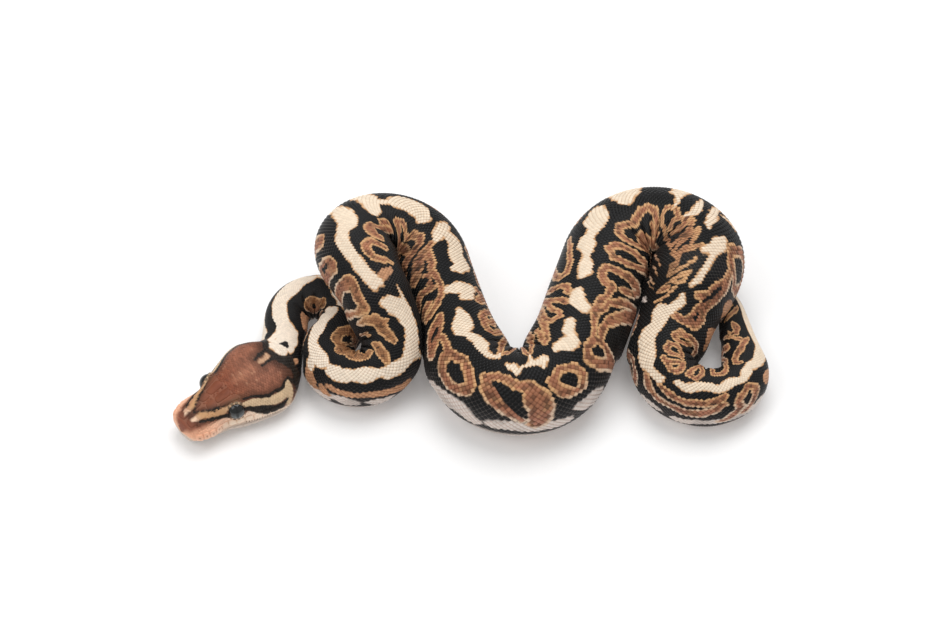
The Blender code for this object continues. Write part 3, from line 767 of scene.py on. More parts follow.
# Belly white that climbs the sides in patches.
WHITE_STROKES = (
    (312.8,-54,0.4, 312.2,-63,0.7, 311.6,-74,0.6),
    (197,-104,2.2, 200,-90,2.2, 202.4,-86,2.2, 204.4,-98,1.6),
    (207.4,-92,1.4, 209.6,-90,1.6, 213,-97,1.4, 217,-100,1.6),
    (219.6,-82,1.2, 221.6,-86,2, 223.2,-98,1.8),
    (331,-104,1.4, 333,-100,1.2),
    (337,-106,1.6, 340,-98,1.3, 343,-96,1.2, 346.5,-98,1.4, 350,-100,2.4),
    (89.6,-92,1, 91.8,-88,1.4, 92.6,-100,1.6),
    (96,-98,1.2, 97.6,-108,1.6),
    (86.4,-96,1.6, 88.4,-104,1.8),
)

# The head's black lines and pale stripes, on the right side and mirrored to the left. Those of the
# nape and the left nostril's pale tip aren't mirrored.
HEAD_BLACK = (
    (4,0,0.15, 5,-5,0.3, 6,-12,0.45, 7,-17,0.45, 8,-23,0.7, 8.8,-25,0.5, 9.6,-27,0.35,
     10.4,-29,0.2, 11.2,-32,0.1),
    (15,-38,0.35, 16.5,-40,0.45, 18,-45,0.45, 19,-50,0.55, 20.5,-53,0.6, 22,-51,0.4, 23,-53,0.6,
     24.2,-54,0.55, 25.2,-48,0.35, 26.2,-49,0.3, 26.6,-58,0.35, 27,-70,0.4, 27.5,-86,0.5),
    (3.9,-27,0.4, 4.6,-32,0.6, 6,-37,0.55, 7.3,-44,0.75, 8.5,-51,1.05, 10,-56,1.1),
    (13.6,-57,0.55, 15,-61,0.75, 16.2,-66,1, 17.2,-71,1.25, 18.5,-76,1.3, 20.5,-80,1.05, 22.5,-80,0.8,
     24,-77,0.45),
)
NAPE_BLACK = (
    (23.2,2,0.2, 25,4,0.35, 27,4,0.45, 28.3,7,0.5, 29.2,14,0.6, 30.4,22,0.7, 32,30,0.8, 33,42,0.8),
    (23.5,-8,0.3, 25,-7,0.35, 26.5,-8,0.5, 27.2,-12,0.7, 27.5,-20,0.7, 27.9,-28,0.85, 28.3,-36,1,
     28.6,-44,0.9, 28.2,-56,0.7, 28,-70,0.8, 28.2,-88,0.9),
    (27.3,6,0.5, 27.4,-2,0.5, 27.4,-10,0.6),
)
HEAD_TAN = (
    (3.1,-12,0.9, 4.2,-13,1.2, 5.2,-18,1.3, 6.2,-24,1.2, 7.2,-30,1.35, 8.2,-34,1.2, 9.2,-37,1.25,
     10.2,-38,0.85, 11.2,-40,0.55, 12.4,-42,0.4, 13.4,-46,0.5, 15,-50,1, 16.5,-53,1.15, 18,-58,1.15,
     20,-63,1.3, 22,-65,1.35, 24,-63,1.5, 25.3,-55,0.9),
    (25.2,-60,1, 25.1,-72,1, 24.6,-84,0.9),
)
NAPE_TAN = (
    (23.7,-2,0.3, 25,-2.5,0.4, 26.3,-2,0.45),
    (3.3,17,0.8, 4.2,21,0.9, 5.6,24,0.6),
)
# Upper edge of the lips: distance back from the snout, and degrees round from the crown.
LIP_TOP = ((0.0, 30), (2.5, 36), (5.0, 43), (7.5, 52), (10.0, 62), (12.5, 66), (15.0, 67), (18.0, 78),
           (22.0, 86), (26.0, 92))
CROWN_END = 27.4
# The left side's markings sit nearer the middle of the crown, by this share and by this more in front.
LEFT_SHARE = 1.05
LEFT_FRONT = 0.15

# A stroke's width is measured with this many millimetres to a degree round the body.
TURN_MM = 0.163


def linear(red, green, blue):
    """Colour of a paint chip, 0 to 255, as the linear values that a shader takes."""
    chip = np.array([red, green, blue]) / 255.0
    return np.where(chip <= 0.04045, chip / 12.92, ((chip + 0.055) / 1.055) ** 2.4)


BLACK = linear(15, 15, 16)
FLANK_GREY = linear(74, 70, 70)
CREAM = linear(244, 226, 202)
CREAM_PALE = linear(248, 234, 216)
CREAM_RIM = linear(212, 164, 116)
BROWN = linear(174, 118, 88)
BROWN_RIM = linear(216, 170, 122)
GOLDEN = linear(178, 128, 88)
ROSE = linear(190, 134, 112)
PALE_RIM = linear(232, 208, 184)
FRECKLE = linear(64, 44, 32)
TAN = linear(202, 152, 116)
WHITE = linear(230, 218, 210)
BELLY_GREY = linear(150, 142, 138)
RUST = linear(142, 86, 62)
RUST_PALE = linear(151, 98, 76)
RUST_STREAK = linear(186, 130, 102)
UMBER = linear(74, 48, 37)
RUST_DEEP = linear(130, 68, 46)
OLIVE = linear(110, 76, 52)
SALMON = linear(247, 186, 152)
SNOUT_RED = linear(140, 82, 62)
LIP_CREAM = linear(255, 229, 206)
STRIPE_TAN = linear(222, 194, 158)
STRIPE_FRONT = linear(202, 156, 112)
STRIPE_TIP = linear(236, 200, 170)
HEAD_DARK = linear(38, 32, 27)
LID_DARK = linear(44, 38, 33)
JAW_GREY = linear(220, 206, 194)
# Light grey of the skin between black scales: partly its own colour, partly a painted highlight.
SKIN_AND_GLINT_GREY = linear(150, 142, 136)
UNDER_PINK = linear(222, 176, 148)
# Painted shade inside the sunken heat pits.
PIT_SHADE = linear(112, 62, 48)
EYE_DARK = linear(22, 23, 22)
# Painted reflection of the pale floor in the lower half of the eye.
EYE_FLOOR_REFLECTION = linear(98, 102, 102)
PUPIL = np.full(3, 0.002)
# Darkening at the foot of a pale scale's rim: partly the scale's own warm outline, partly painted shade
# where the scales lap.
RIM_SHADE_TINT = np.array([0.74, 0.58, 0.50])
# Painted highlight: a lighter grey at the rims of black scales.
RIM_SHEEN_GREY = linear(74, 72, 70)
BROWN_SWELL = 0.16


def stroke_depth(strokes, along, across):
    """How deep inside the strokes each place lies, in millimetres, and negative outside them."""
    depth = np.full(len(along), -9.0)
    for stroke in strokes:
        rows = np.array(stroke, float).reshape(-1, 3)
        near = np.flatnonzero((along > rows[:, 0].min() - 5.0) & (along < rows[:, 0].max() + 5.0))
        x = along[near]
        y = across[near]
        best = depth[near]
        for here, there in zip(rows, rows[1:]):
            run_x = there[0] - here[0]
            run_y = (there[1] - here[1]) * TURN_MM
            from_x = x - here[0]
            from_y = y - here[1] * TURN_MM
            share = (from_x * run_x + from_y * run_y) / (run_x ** 2 + run_y ** 2)
            share = np.clip(share, 0.0, 1.0)
            gap = np.hypot(from_x - share * run_x, from_y - share * run_y)
            best = np.maximum(best, here[2] + share * (there[2] - here[2]) - gap)
        depth[near] = best
    return depth


def lay_over(colours, share, paint):
    """Cover colours with a paint by a share at each place."""
    return colours * (1.0 - share[:, None]) + paint * share[:, None]


def cover(depth, edge=0.08):
    """Share of a stroke's paint at a depth inside it."""
    return smoothstep(-edge, edge, depth)


def flank_loops():
    """Uneven closed strokes round the middles of the hidden flank loops."""
    dice = np.random.default_rng(19)
    strokes = []
    for along, turn in FLANK_LOOPS:
        angles = np.linspace(0.0, math.tau, 10)
        reach = np.append(dice.uniform(0.8, 1.2, 9), 0.0)
        reach[-1] = reach[0]
        lean = dice.uniform(-0.5, 0.5)
        rise = reach * np.sin(angles)
        rows = [along + 2.6 * reach * np.cos(angles) + lean * rise, turn + 21.0 * rise]
        strokes.append(np.column_stack([*rows, dice.uniform(0.7, 1.2, 10)]))
    return tuple(strokes)


def body_colour(along, turn, grain):
    """Black back, brown loops, cream patches and a pale belly."""
    across = turn * TURN_MM
    x = along + 0.26 * ripple(along, across, 1.4, 11)
    y = across + 0.26 * ripple(along, across, 1.4, 12)
    side = np.abs(turn)
    cloud = ripple(along, across, 2.6, 13)
    colours = BLACK * (1.0 + 0.25 * cloud[:, None] + 0.5 * (grain[:, None] - 0.5))
    colours = lay_over(colours, 0.5 * smoothstep(62.0, 100.0, side), FLANK_GREY)
    edge = 117.0 + 9.0 * ripple(along, 0.0 * along, 4.0, 14)
    blotch = smoothstep(0.0, 0.5, ripple(along, across, 3.0, 15))
    belly = WHITE * (1.0 - 0.35 * blotch[:, None]) + BELLY_GREY * 0.35 * blotch[:, None]
    colours = lay_over(colours, smoothstep(-5.0, 5.0, side - edge), belly)
    colours = lay_over(colours, cover(stroke_depth(WHITE_STROKES, x, y), 0.2), belly)
    brown = stroke_depth(BROWN_STROKES + flank_loops(), x, y) + BROWN_SWELL
    low = smoothstep(42.0, 78.0, side)[:, None]
    rim = PALE_RIM * low + BROWN_RIM * (1.0 - low)
    fan = sum(np.exp(-((along - middle) / 9.0) ** 2) for middle in FANS) * smoothstep(-6.0, -16.0, turn)
    rim = lay_over(rim, 0.7 * fan, BROWN)
    inner = smoothstep(0.2, 0.7, brown)[:, None]
    golden = smoothstep(128.0, 108.0, along)[:, None]
    earth = BROWN * (1.0 - golden) + GOLDEN * golden
    earth = lay_over(earth, 0.75 * smoothstep(48.0, 85.0, side), ROSE)
    earth = lay_over(earth, 0.4 * smoothstep(0.15, 0.7, ripple(along, across, 1.3, 17)), BROWN_RIM)
    core = smoothstep(0.4, 0.95, brown) * (0.55 + 0.45 * ripple(along, across, 0.9, 18))
    earth = lay_over(earth, (0.42 + 0.15 * golden[:, 0]) * core, UMBER)
    earth = lay_over(earth, 0.35 * fan, UMBER)
    earth = earth * (1.0 + 0.14 * cloud[:, None] + 0.34 * (grain[:, None] - 0.5))
    colours = lay_over(colours, cover(brown), earth * inner + rim * (1.0 - inner))
    speck = smoothstep(0.30, 0.16, grain) * smoothstep(0.35, 0.65, brown)
    colours = lay_over(colours, 0.5 * speck, FRECKLE)
    # Painted shade: black lines in the creases of the fans on the inside of tight bends.
    crease_shade = smoothstep(0.0, 0.45, ripple(along, 0.22 * across, 0.62, 27)) * smoothstep(-12.0, -24.0, turn)
    colours = lay_over(colours, 0.75 * crease_shade * fan, BLACK)
    tan = stroke_depth(TAN_STROKES, x, y)
    colours = lay_over(colours, cover(tan, 0.12), TAN * (1.0 + 0.15 * cloud + 0.3 * (grain - 0.5))[:, None])
    cream = stroke_depth(CREAM_STROKES, x, y)
    inner = smoothstep(0.05, 0.5, cream)[:, None]
    pale = smoothstep(140.0, 60.0, along)[:, None]
    paint = (CREAM * (1.0 - pale) + CREAM_PALE * pale) * inner * (0.91 + 0.14 * grain[:, None])
    paint = paint + CREAM_RIM * (1.0 - inner)
    colours = lay_over(colours, cover(cream), paint)
    black = stroke_depth(BLACK_STROKES, x, y)
    return lay_over(colours, cover(black), BLACK * np.ones((len(along), 1)))


def lip_colour(along, side, fine):
    """Salmon lips that turn to cream towards the mouth and behind the eye."""
    pale = np.clip(0.85 * smoothstep(1.5, 15.0, along) + 0.4 * smoothstep(66.0, 88.0, side), 0.0, 1.0)
    lips = SALMON * (1.0 - pale[:, None]) + LIP_CREAM * pale[:, None]
    return lips * (1.0 + 0.07 * fine[:, None])


def crown_colour(along, turn, side, grain, black):
    """Mottled rust, redder in the middle, olive over the eyes, dark along its black edges."""
    across = turn * TURN_MM
    cloud = ripple(along, across, 2.2, 23)
    fine = ripple(along, across, 0.8, 26)
    back = smoothstep(14.5, 20.0, along)[:, None]
    colours = RUST * (1.0 - back) + RUST_PALE * back
    middle = np.exp(-((along - 13.0) / 4.2) ** 2 - ((turn - 2.0) / 26.0) ** 2)
    colours = lay_over(colours, 0.75 * middle, RUST_DEEP)
    streak = np.exp(-((turn + 2.5) / (5.0 + 2.5 * cloud)) ** 2) * smoothstep(14.0, 17.0, along)
    colours = lay_over(colours, 0.5 * streak * smoothstep(26.0, 23.5, along), RUST_STREAK)
    brow = np.exp(-((along - 12.8) / 2.4) ** 2 - ((np.abs(side) - 34.0) / 8.0) ** 2)
    blotch = smoothstep(0.25, 0.85, cloud) * smoothstep(20.0, 16.0, along)
    colours = lay_over(colours, np.clip(0.8 * brow + 0.35 * blotch, 0.0, 1.0), OLIVE)
    colours = colours * (1.0 + 0.10 * cloud + 0.12 * fine + 0.42 * (grain - 0.5))[:, None]
    pale_scale = (grain > 0.94) * smoothstep(12.0, 17.0, along)
    colours = lay_over(colours, 0.10 * pale_scale, STRIPE_TAN)
    colours = lay_over(colours, 0.8 * smoothstep(5.0, 3.0, along), SNOUT_RED)
    dark = 0.6 * smoothstep(-2.6, 0.0, black) ** 1.5 + 0.55 * smoothstep(24.0, 28.0, along)
    apex = np.exp(-((along - 3.2) / 1.3) ** 2 - (turn / 24.0) ** 2)
    dark = dark + 0.85 * apex
    return lay_over(colours, np.clip(dark, 0.0, 0.85), UMBER)


def head_colour(along, turn, grain):
    """Rust crown edged with black, pale stripes, black eye stripe and salmon lips."""
    share = LEFT_SHARE + LEFT_FRONT * smoothstep(14.0, 7.0, along)
    side = np.where(turn > 0.0, -turn * share, turn)
    across = side * TURN_MM
    x = along + 0.16 * ripple(along, across, 0.8, 21)
    y = across + 0.16 * ripple(along, across, 0.8, 22)
    fine = ripple(along, turn * TURN_MM, 0.7, 24)
    nape_y = turn * TURN_MM + 0.16 * ripple(along, across, 0.8, 22)
    black = stroke_depth(HEAD_BLACK, x, y) + 0.3 * smoothstep(8.0, 14.0, along) * (turn > 0.0)
    black = np.maximum(black, stroke_depth(NAPE_BLACK, x, nape_y))
    colours = crown_colour(along, turn, side, grain, black)
    rows = np.array(LIP_TOP)
    top = np.interp(along, rows[:, 0], rows[:, 1])
    spread = 5.0 + 24.0 * smoothstep(9.0, 1.5, along)
    lip = smoothstep(0.0, 1.0, (-side - top + 3.0) / spread)
    colours = lay_over(colours, lip, lip_colour(along, -side, fine))
    jaw = smoothstep(89.0, 93.0, np.abs(turn))
    cloud = ripple(along, turn * TURN_MM, 2.2, 23)
    colours = lay_over(colours, jaw, JAW_GREY * (1.0 + 0.06 * cloud[:, None]))
    nape = stroke_depth(NAPE_TAN, x, nape_y)
    tan = np.maximum(stroke_depth(HEAD_TAN, x, y), nape)
    behind = smoothstep(8.0, 15.0, along)[:, None]
    stripe = STRIPE_FRONT * (1.0 - behind) + STRIPE_TAN * behind
    stripe = lay_over(stripe, smoothstep(4.6, 3.2, along), STRIPE_TIP)
    stripe = lay_over(stripe, 0.5 * smoothstep(-0.3, 0.0, nape), RUST_STREAK)
    stripe = stripe * (1.0 + 0.06 * fine + 0.14 * (grain - 0.5))[:, None]
    colours = lay_over(colours, cover(tan, 0.14), stripe)
    return lay_over(colours, cover(black, 0.14), HEAD_DARK * (1.0 + 0.9 * (grain - 0.5))[:, None])


def colour_at(along, turn, grain):
    """Colour of the coat at places on the skin. Grain is a number from 0 to 1 for each scale."""
    along = np.asarray(along, float)
    turn = (np.asarray(turn, float) + 180.0) % 360.0 - 180.0
    colours = body_colour(along, turn, grain)
    head = np.flatnonzero(along < CROWN_END + 4.0)
    if len(head):
        crown = head_colour(along[head], turn[head], grain[head])
        black = stroke_depth(NAPE_BLACK, along[head], turn[head] * TURN_MM)
        end = CROWN_END + 0.08 * np.clip(turn[head] - 8.0, 0.0, 34.0)
        end = end + 0.7 * ripple(along[head], turn[head] * TURN_MM, 2.0, 25)
        share = np.maximum(smoothstep(0.25, -0.25, along[head] - end), cover(black, 0.14))
        colours[head] = lay_over(colours[head], share, crown)
    return np.clip(colours, 0.0, 1.0)


def under_colour(along, turn, grain):
    """Colour of the bare skin between the scales: the same markings, greyed and warmed. Under black it is a
    light grey, partly the skin's own and partly a painted highlight at the gaps.
    """
    colours = colour_at(along, turn, grain)
    side = np.abs((turn + 180.0) % 360.0 - 180.0)
    bright = colours.mean(axis=1)
    body = smoothstep(28.0, 34.0, along)
    dark = smoothstep(0.12, 0.02, bright) * body
    # Under black the skin turns light grey: partly its own colour, partly a painted highlight at the gaps.
    colours = lay_over(colours, (0.2 + 0.27 * smoothstep(40.0, 85.0, side)) * dark, SKIN_AND_GLINT_GREY)
    light = smoothstep(0.3, 0.6, bright) * body
    colours = lay_over(colours, 0.35 * light, UNDER_PINK)
    middling = smoothstep(0.05, 0.12, bright) * smoothstep(0.4, 0.25, bright) * body
    colours = lay_over(colours, 0.7 * middling, FRECKLE)
    return lay_over(colours, 0.12 * (1.0 - body) * smoothstep(0.03, 0.08, bright), UNDER_PINK)


def build_mesh(name, points, loops, sizes, places, colours):
    """Mesh piece from points in millimetres, faces, an unrolled place for each loop, and colours."""
    mesh = bpy.data.meshes.new(name)
    mesh.vertices.add(len(points))
    mesh.vertices.foreach_set("co", (points * MM).astype(np.float32).ravel())
    mesh.loops.add(len(loops))
    mesh.loops.foreach_set("vertex_index", loops.astype(np.int32))
    mesh.polygons.add(len(sizes))
    starts = np.concatenate([[0], np.cumsum(sizes)[:-1]])
    mesh.polygons.foreach_set("loop_start", starts.astype(np.int32))
    mesh.update(calc_edges=True)
    mesh.validate()
    unrolled = mesh.uv_layers.new(name="OFBake")
    unrolled.data.foreach_set("uv", places.astype(np.float32).ravel())
    shade = mesh.color_attributes.new("marking", "FLOAT_COLOR", "POINT")
    full = np.column_stack([colours, np.ones(len(colours))])
    shade.data.foreach_set("color", full.astype(np.float32).ravel())
    mesh.shade_smooth()
    piece = bpy.data.objects.new(name, mesh)
    bpy.context.scene.collection.objects.link(piece)
    return piece


def build_skin(form):
    """One closed skin from the snout to the tip of the tail."""
    rows = len(form.along)
    columns = SKIN_COLUMNS
    along = np.repeat(form.along, columns)
    turn = np.tile(form.turn[:-1], rows)
    points = form.points[:, :-1].reshape(-1, 3)
    row = np.arange(rows - 1)[:, None]
    column = np.arange(columns)[None, :]
    following = (column + 1) % columns
    corners = [row * columns + column, (row + 1) * columns + column]
    corners += [(row + 1) * columns + following, row * columns + following]
    quads = np.stack(corners, axis=-1).reshape(-1, 4)
    near = form.along[row] + 0 * column
    far = form.along[row + 1] + 0 * column
    u = np.stack([near, far, far, near], axis=-1)
    v = np.stack([column, column, column + 1, column + 1], axis=-1) + 0 * row[..., None]
    places = np.stack([u / form.along[-1], v / columns], axis=-1).reshape(-1, 2)
    ends = np.concatenate([np.arange(columns), np.arange(columns)[::-1] + (rows - 1) * columns])
    end_places = np.concatenate([np.full((columns, 2), 0.0005), np.full((columns, 2), 0.9995)])
    loops = np.concatenate([quads.ravel(), ends])
    sizes = np.concatenate([np.full(len(quads), 4), [columns, columns]])
    places = np.concatenate([places, end_places])
    grain = np.full(len(along), 0.5)
    return build_mesh("skin", points, loops, sizes, places, under_colour(along, turn, grain))


def model_plate(corners, slope, insets):
    """One scale as by hand: a flat round of so many corners is raised, set in and domed."""
    bpy.ops.object.select_all(action="DESELECT")
    bpy.ops.mesh.primitive_circle_add(vertices=corners, radius=1.0, fill_type="NGON")
    plate = bpy.context.object
    bpy.ops.object.mode_set(mode="EDIT")
    bpy.ops.mesh.select_all(action="SELECT")
    bpy.ops.mesh.extrude_region_move(TRANSFORM_OT_translate={"value": (0.0, 0.0, 0.55)})
    bpy.ops.transform.resize(value=(slope, slope, 1.0))
    for thickness, depth in insets:
        bpy.ops.mesh.inset(thickness=thickness, depth=depth)
    bpy.ops.mesh.poke(offset=0.10)
    bpy.ops.object.mode_set(mode="OBJECT")
    points = np.array([vertex.co for vertex in plate.data.vertices])
    faces = [list(face.vertices) for face in plate.data.polygons]
    starts = [face.index(min(face)) for face in faces]
    bpy.data.objects.remove(plate, do_unlink=True)
    return points, sorted(face[start:] + face[:start] for face, start in zip(faces, starts))


def sharpened(plate):
    """The plate drawn to a rounded rhombus, as on the back."""
    points, faces = plate
    points = points.copy()
    diagonal = (np.abs(points[:, 0]) > 0.1) & (np.abs(points[:, 1]) > 0.1)
    points[diagonal, :2] *= 0.76
    return points, faces


def squared(plate, power):
    """The plate drawn to a rounded square, as on the lips and the snout."""
    points, faces = plate
    points = points.copy()
    reach = np.hypot(points[:, 0], points[:, 1])
    direction = np.abs(points[:, :2]) / np.maximum(reach, 1e-9)[:, None]
    points[:, :2] *= ((direction ** power).sum(axis=1) + (reach < 1e-6))[:, None] ** (-1.0 / power)
    return points, faces


def rim_share(shape):
    """How near each point of a plate is to its rim: 1 at the foot of its edge, 0 on its top."""
    return smoothstep(0.75, 0.0, shape[:, 2])


def rim_shaded(colours, share):
    """Colours warmed and darkened towards the rim of a pale scale, partly its own warm outline and partly
    painted shade at its foot where the scales lap, and greyed on a black one as a painted highlight.
    """
    bright = colours.mean(axis=1)
    light = smoothstep(0.02, 0.24, bright) * (1.0 - 0.5 * smoothstep(0.3, 0.6, bright))
    # Pale scales darken towards the foot of the rim: partly their warm outline, partly painted shade.
    rim_shade_factor = 1.0 - light[:, None] * (1.0 - RIM_SHADE_TINT)
    rim_darkened = colours * (1.0 - share[:, None] * (1.0 - rim_shade_factor))
    # Painted highlight: black scales greyed towards the rim.
    return lay_over(rim_darkened, 0.5 * share * smoothstep(0.05, 0.01, bright), RIM_SHEEN_GREY)


def plate_colours(plate, along, turn, grain, rim=1.0):
    """Colours of copies of a plate, a grain to each, from the places that their points stand on."""
    shape = plate[0]
    colours = colour_at(along.ravel(), turn.ravel(), np.repeat(grain, len(shape)))
    # The rims get painted shade on pale scales and a painted highlight on black ones.
    return rim_shaded(colours, rim * np.tile(rim_share(shape), len(grain)))


def join_plates(name, form, plate, points, along, turn, colours):
    """One piece of coat from many copies of a plate, each unrolled as a small patch at its root."""
    shape, faces = plate
    count = len(along)
    template = np.concatenate([np.array(face) for face in faces])
    sizes = np.tile([len(face) for face in faces], count)
    loops = (template[None, :] + len(shape) * np.arange(count)[:, None]).ravel()
    roots = np.column_stack([along / form.along[-1], (turn + 180.0) % 360.0 / 360.0])
    spread = PATCH_HALF * shape[template][:, :2]
    places = (roots[:, None, :] + spread[None, :, :]).reshape(-1, 2)
    return build_mesh(name, points.reshape(-1, 3), loops, sizes, places, colours)


class Lattice:
    """Where each back scale is rooted: rings along the body, alternate rows set half a ring on."""

    def __init__(self, body, form):
        steps = np.linspace(SCALE_START, body.length - 0.6, 6000)
        girth = body.at(steps, body.radius)
        self.size = SCALE_LENGTH * (girth / SCALE_GIRTH) ** 0.35
        self.size *= 1.0 - 0.22 * (1.0 - smoothstep(26.0, 40.0, steps))
        self.size /= np.clip(form.sample(form.stretch, steps, 0.0 * steps), 0.9, 1.6)
        between = np.diff(steps)[0] / self.size
        count = np.concatenate([[0.0], np.cumsum(between[1:])])
        half = BELLY_EDGE - BELLY_EDGE / SCALE_ROWS
        along = []
        turn = []
        for number, row in enumerate(np.linspace(-half, half, SCALE_ROWS)):
            rings = np.arange(0.5 * (number % 2), count[-1], 1.0)
            along.append(np.interp(rings, count, steps))
            turn.append(np.full(len(rings), row))
        order = np.argsort(np.concatenate(along), kind="stable")
        self.along = np.concatenate(along)[order]
        self.turn = np.concatenate(turn)[order]
        keep = ~in_shields(self.along, self.turn)
        self.along = self.along[keep]
        self.turn = self.turn[keep]
        self.length = np.interp(self.along, steps, self.size)
        self.row_turn = 2 * BELLY_EDGE / SCALE_ROWS


def lay_scales(name, form, plate, along, turn, length, row_turn):
    """One piece of coat: a plate at each root, bent to the skin and lapped towards the tail."""
    shape = plate[0]
    reach = form.sample(form.stretch, along, turn)
    half = PLATE_HALF * length * np.minimum(1.0, 1.45 / np.maximum(reach, 0.2))
    height = PLATE_RISE * length * np.clip(reach, 0.45, 1.3)
    lean = 0.62 + 0.38 * shape[:, 0]
    point_along = along[:, None] + half[:, None] * shape[None, :, 0]
    point_turn = turn[:, None] + PLATE_SPREAD * row_turn * shape[None, :, 1]
    lift = height[:, None] * shape[None, :, 2] * lean[None, :] - 0.03
    points = form.place(point_along, point_turn, lift)
    soft = 0.5 + 0.4 * smoothstep(40.0, 30.0, along)[:, None]
    seen_along = along[:, None] + soft * (point_along - along[:, None])
    seen_turn = turn[:, None] + soft * (point_turn - turn[:, None])
    grain = np.random.default_rng(int(along[0] * 100)).uniform(0.0, 1.0, len(along))
    colours = plate_colours(plate, seen_along, seen_turn, grain)
    return join_plates(name, form, plate, points, along, turn, colours)


def mirrored(quads):
    """Quads of one side of the head, and the same on the other side."""
    other = [tuple((back, -turn) for back, turn in quad[::-1]) for quad in quads]
    return list(quads) + other


def lip_row(edges, tops, bottoms):
    """Row of plates along a lip, from the places of its seams and the turns of its two edges."""
    rows = np.array(tops)
    other = np.array(bottoms)
    quads = []
    for near, far in zip(edges, edges[1:]):
        near = near + 0.04
        far = far - 0.04
        high = np.interp([near, far], rows[:, 0], rows[:, 1])
        low = np.interp([near, far], other[:, 0], other[:, 1])
        quads.append(((near, low[0]), (far, low[1]), (far, high[1]), (near, high[0])))
    return quads


def all_shields():
    """Large plates of the head as four corners each: those of the upper lips, and all the others."""
    upper = lip_row(UPPER_SEAMS, UPPER_TOP, UPPER_BOTTOM)
    lower = lip_row(LOWER_SEAMS, LOWER_TOP, LOWER_BOTTOM)
    return mirrored(upper), mirrored(lower) + mirrored(SNOUT_SHIELDS) + list(MIDDLE_SHIELDS)


def in_shields(along, turn):
    """Whether places on the head lie under one of its large plates."""
    covered = np.zeros(len(along), bool)
    upper, others = all_shields()
    front = np.flatnonzero(along < 27.0)
    x = along[front]
    for quad in upper + others:
        middle = sum(corner[1] for corner in quad) / 4.0
        y = (turn[front] - middle + 180.0) % 360.0 - 180.0
        within = np.ones(len(front), bool)
        corners = [(back, angle - middle) for back, angle in quad]
        area = sum(a[0] * b[1] - a[1] * b[0] for a, b in zip(corners, corners[1:] + corners[:1]))
        for here, there in zip(corners, corners[1:] + corners[:1]):
            run_x = there[0] - here[0]
            run_y = (there[1] - here[1]) * TURN_MM
            cross = run_x * (y - here[1]) * TURN_MM - run_y * (x - here[0])
            within &= math.copysign(1.0, area) * cross / math.hypot(run_x, run_y) > -SHIELD_MARGIN
        covered[front] |= within
    return covered


def lay_shields(name, form, plate, quads, pits, height, spread):
    """Large plates of the head, each bent to the skin inside its four corners, drawn out a little."""
    shape = plate[0]
    corners = np.array(quads)[:, ::-1]
    corners = corners + (spread - 1.0) * (corners - corners.mean(axis=1, keepdims=True))
    u = 0.5 + 0.5 * shape[:, 0]
    v = 0.5 + 0.5 * shape[:, 1]
    shares = np.stack([(1 - u) * (1 - v), u * (1 - v), u * v, (1 - u) * v])
    spots = np.einsum("cp,qcx->qpx", shares, corners)
    lift = np.tile(height * shape[:, 2] - 0.05, (len(quads), 1))
    reach = np.hypot(shape[:, 0], shape[:, 1])
    pit = smoothstep(0.34, 0.12, reach)[None, :] * np.array(pits, float)[:, None]
    points = form.place(spots[..., 0], spots[..., 1], lift * (1.0 - pit) + 0.02 * pit)
    grain = np.random.default_rng(8).uniform(0.2, 0.8, len(quads))
    colours = plate_colours(plate, spots[..., 0], spots[..., 1], grain, 0.45)
    # Painted shade in the middle of each sunken heat pit.
    colours = lay_over(colours, 0.5 * pit.ravel(), PIT_SHADE)
    return join_plates(name, form, plate, points, *corners.mean(axis=1).T, colours)


def grain_size(along):
    """Distance between the small scales of the head, which is least on the snout."""
    return 0.47 + 0.013 * np.clip(along - 5.0, 0.0, 14.0)


def scatter_grains(form):
    """Seeded places for the small scales of the head, no two nearer than their size allows."""
    dice = np.random.default_rng(5)
    along = dice.uniform(0.0, GRAIN_END, GRAIN_TRIES)
    turn = dice.uniform(-180.0, 180.0, GRAIN_TRIES)
    points = form.place(along, turn, np.zeros(len(along)))
    sizes = 0.86 * grain_size(along)
    cells = {}
    kept = []
    for number, (point, size) in enumerate(zip(points.tolist(), sizes.tolist())):
        key = tuple(int(value // GRAIN_CELL) for value in point)
        crowded = False
        for step in NEIGHBOURS:
            for other in cells.get((key[0] + step[0], key[1] + step[1], key[2] + step[2]), ()):
                if math.dist(point, points[other]) < size:
                    crowded = True
        if not crowded:
            cells.setdefault(key, []).append(number)
            kept.append(number)
    return along[kept], turn[kept]


def spread_out(form, along, turn):
    """Nudge the small scales apart until they are evenly packed, and find the size of each."""
    for _ in range(SPREAD_ROUNDS):
        points = form.place(along, turn, np.zeros(len(along)))
        tree = kdtree.KDTree(len(points))
        for number, point in enumerate(points.tolist()):
            tree.insert(point, number)
        tree.balance()
        found = [tree.find_n(point, 7)[1:] for point in points.tolist()]
        gaps = np.array([[item[2] for item in row] for row in found])
        others = points[np.array([[item[1] for item in row] for row in found])]
        wanted = grain_size(along)[:, None] * 1.04
        push = np.maximum(wanted - gaps, 0.0) / np.maximum(gaps, 0.05)
        shift = 0.30 * ((points[:, None] - others) * push[..., None]).sum(axis=1)
        down = form.sample(form.down, along, turn)
        across = form.sample(form.across, along, turn)
        along = along + (shift * down).sum(axis=1) / np.maximum((down ** 2).sum(axis=1), 0.05)
        turn = turn + (shift * across).sum(axis=1) / np.maximum((across ** 2).sum(axis=1), 1e-3)
        along = np.clip(along, 0.06, GRAIN_END)
    return along, turn, 0.5 * np.sort(gaps, axis=1)[:, :5].mean(axis=1)


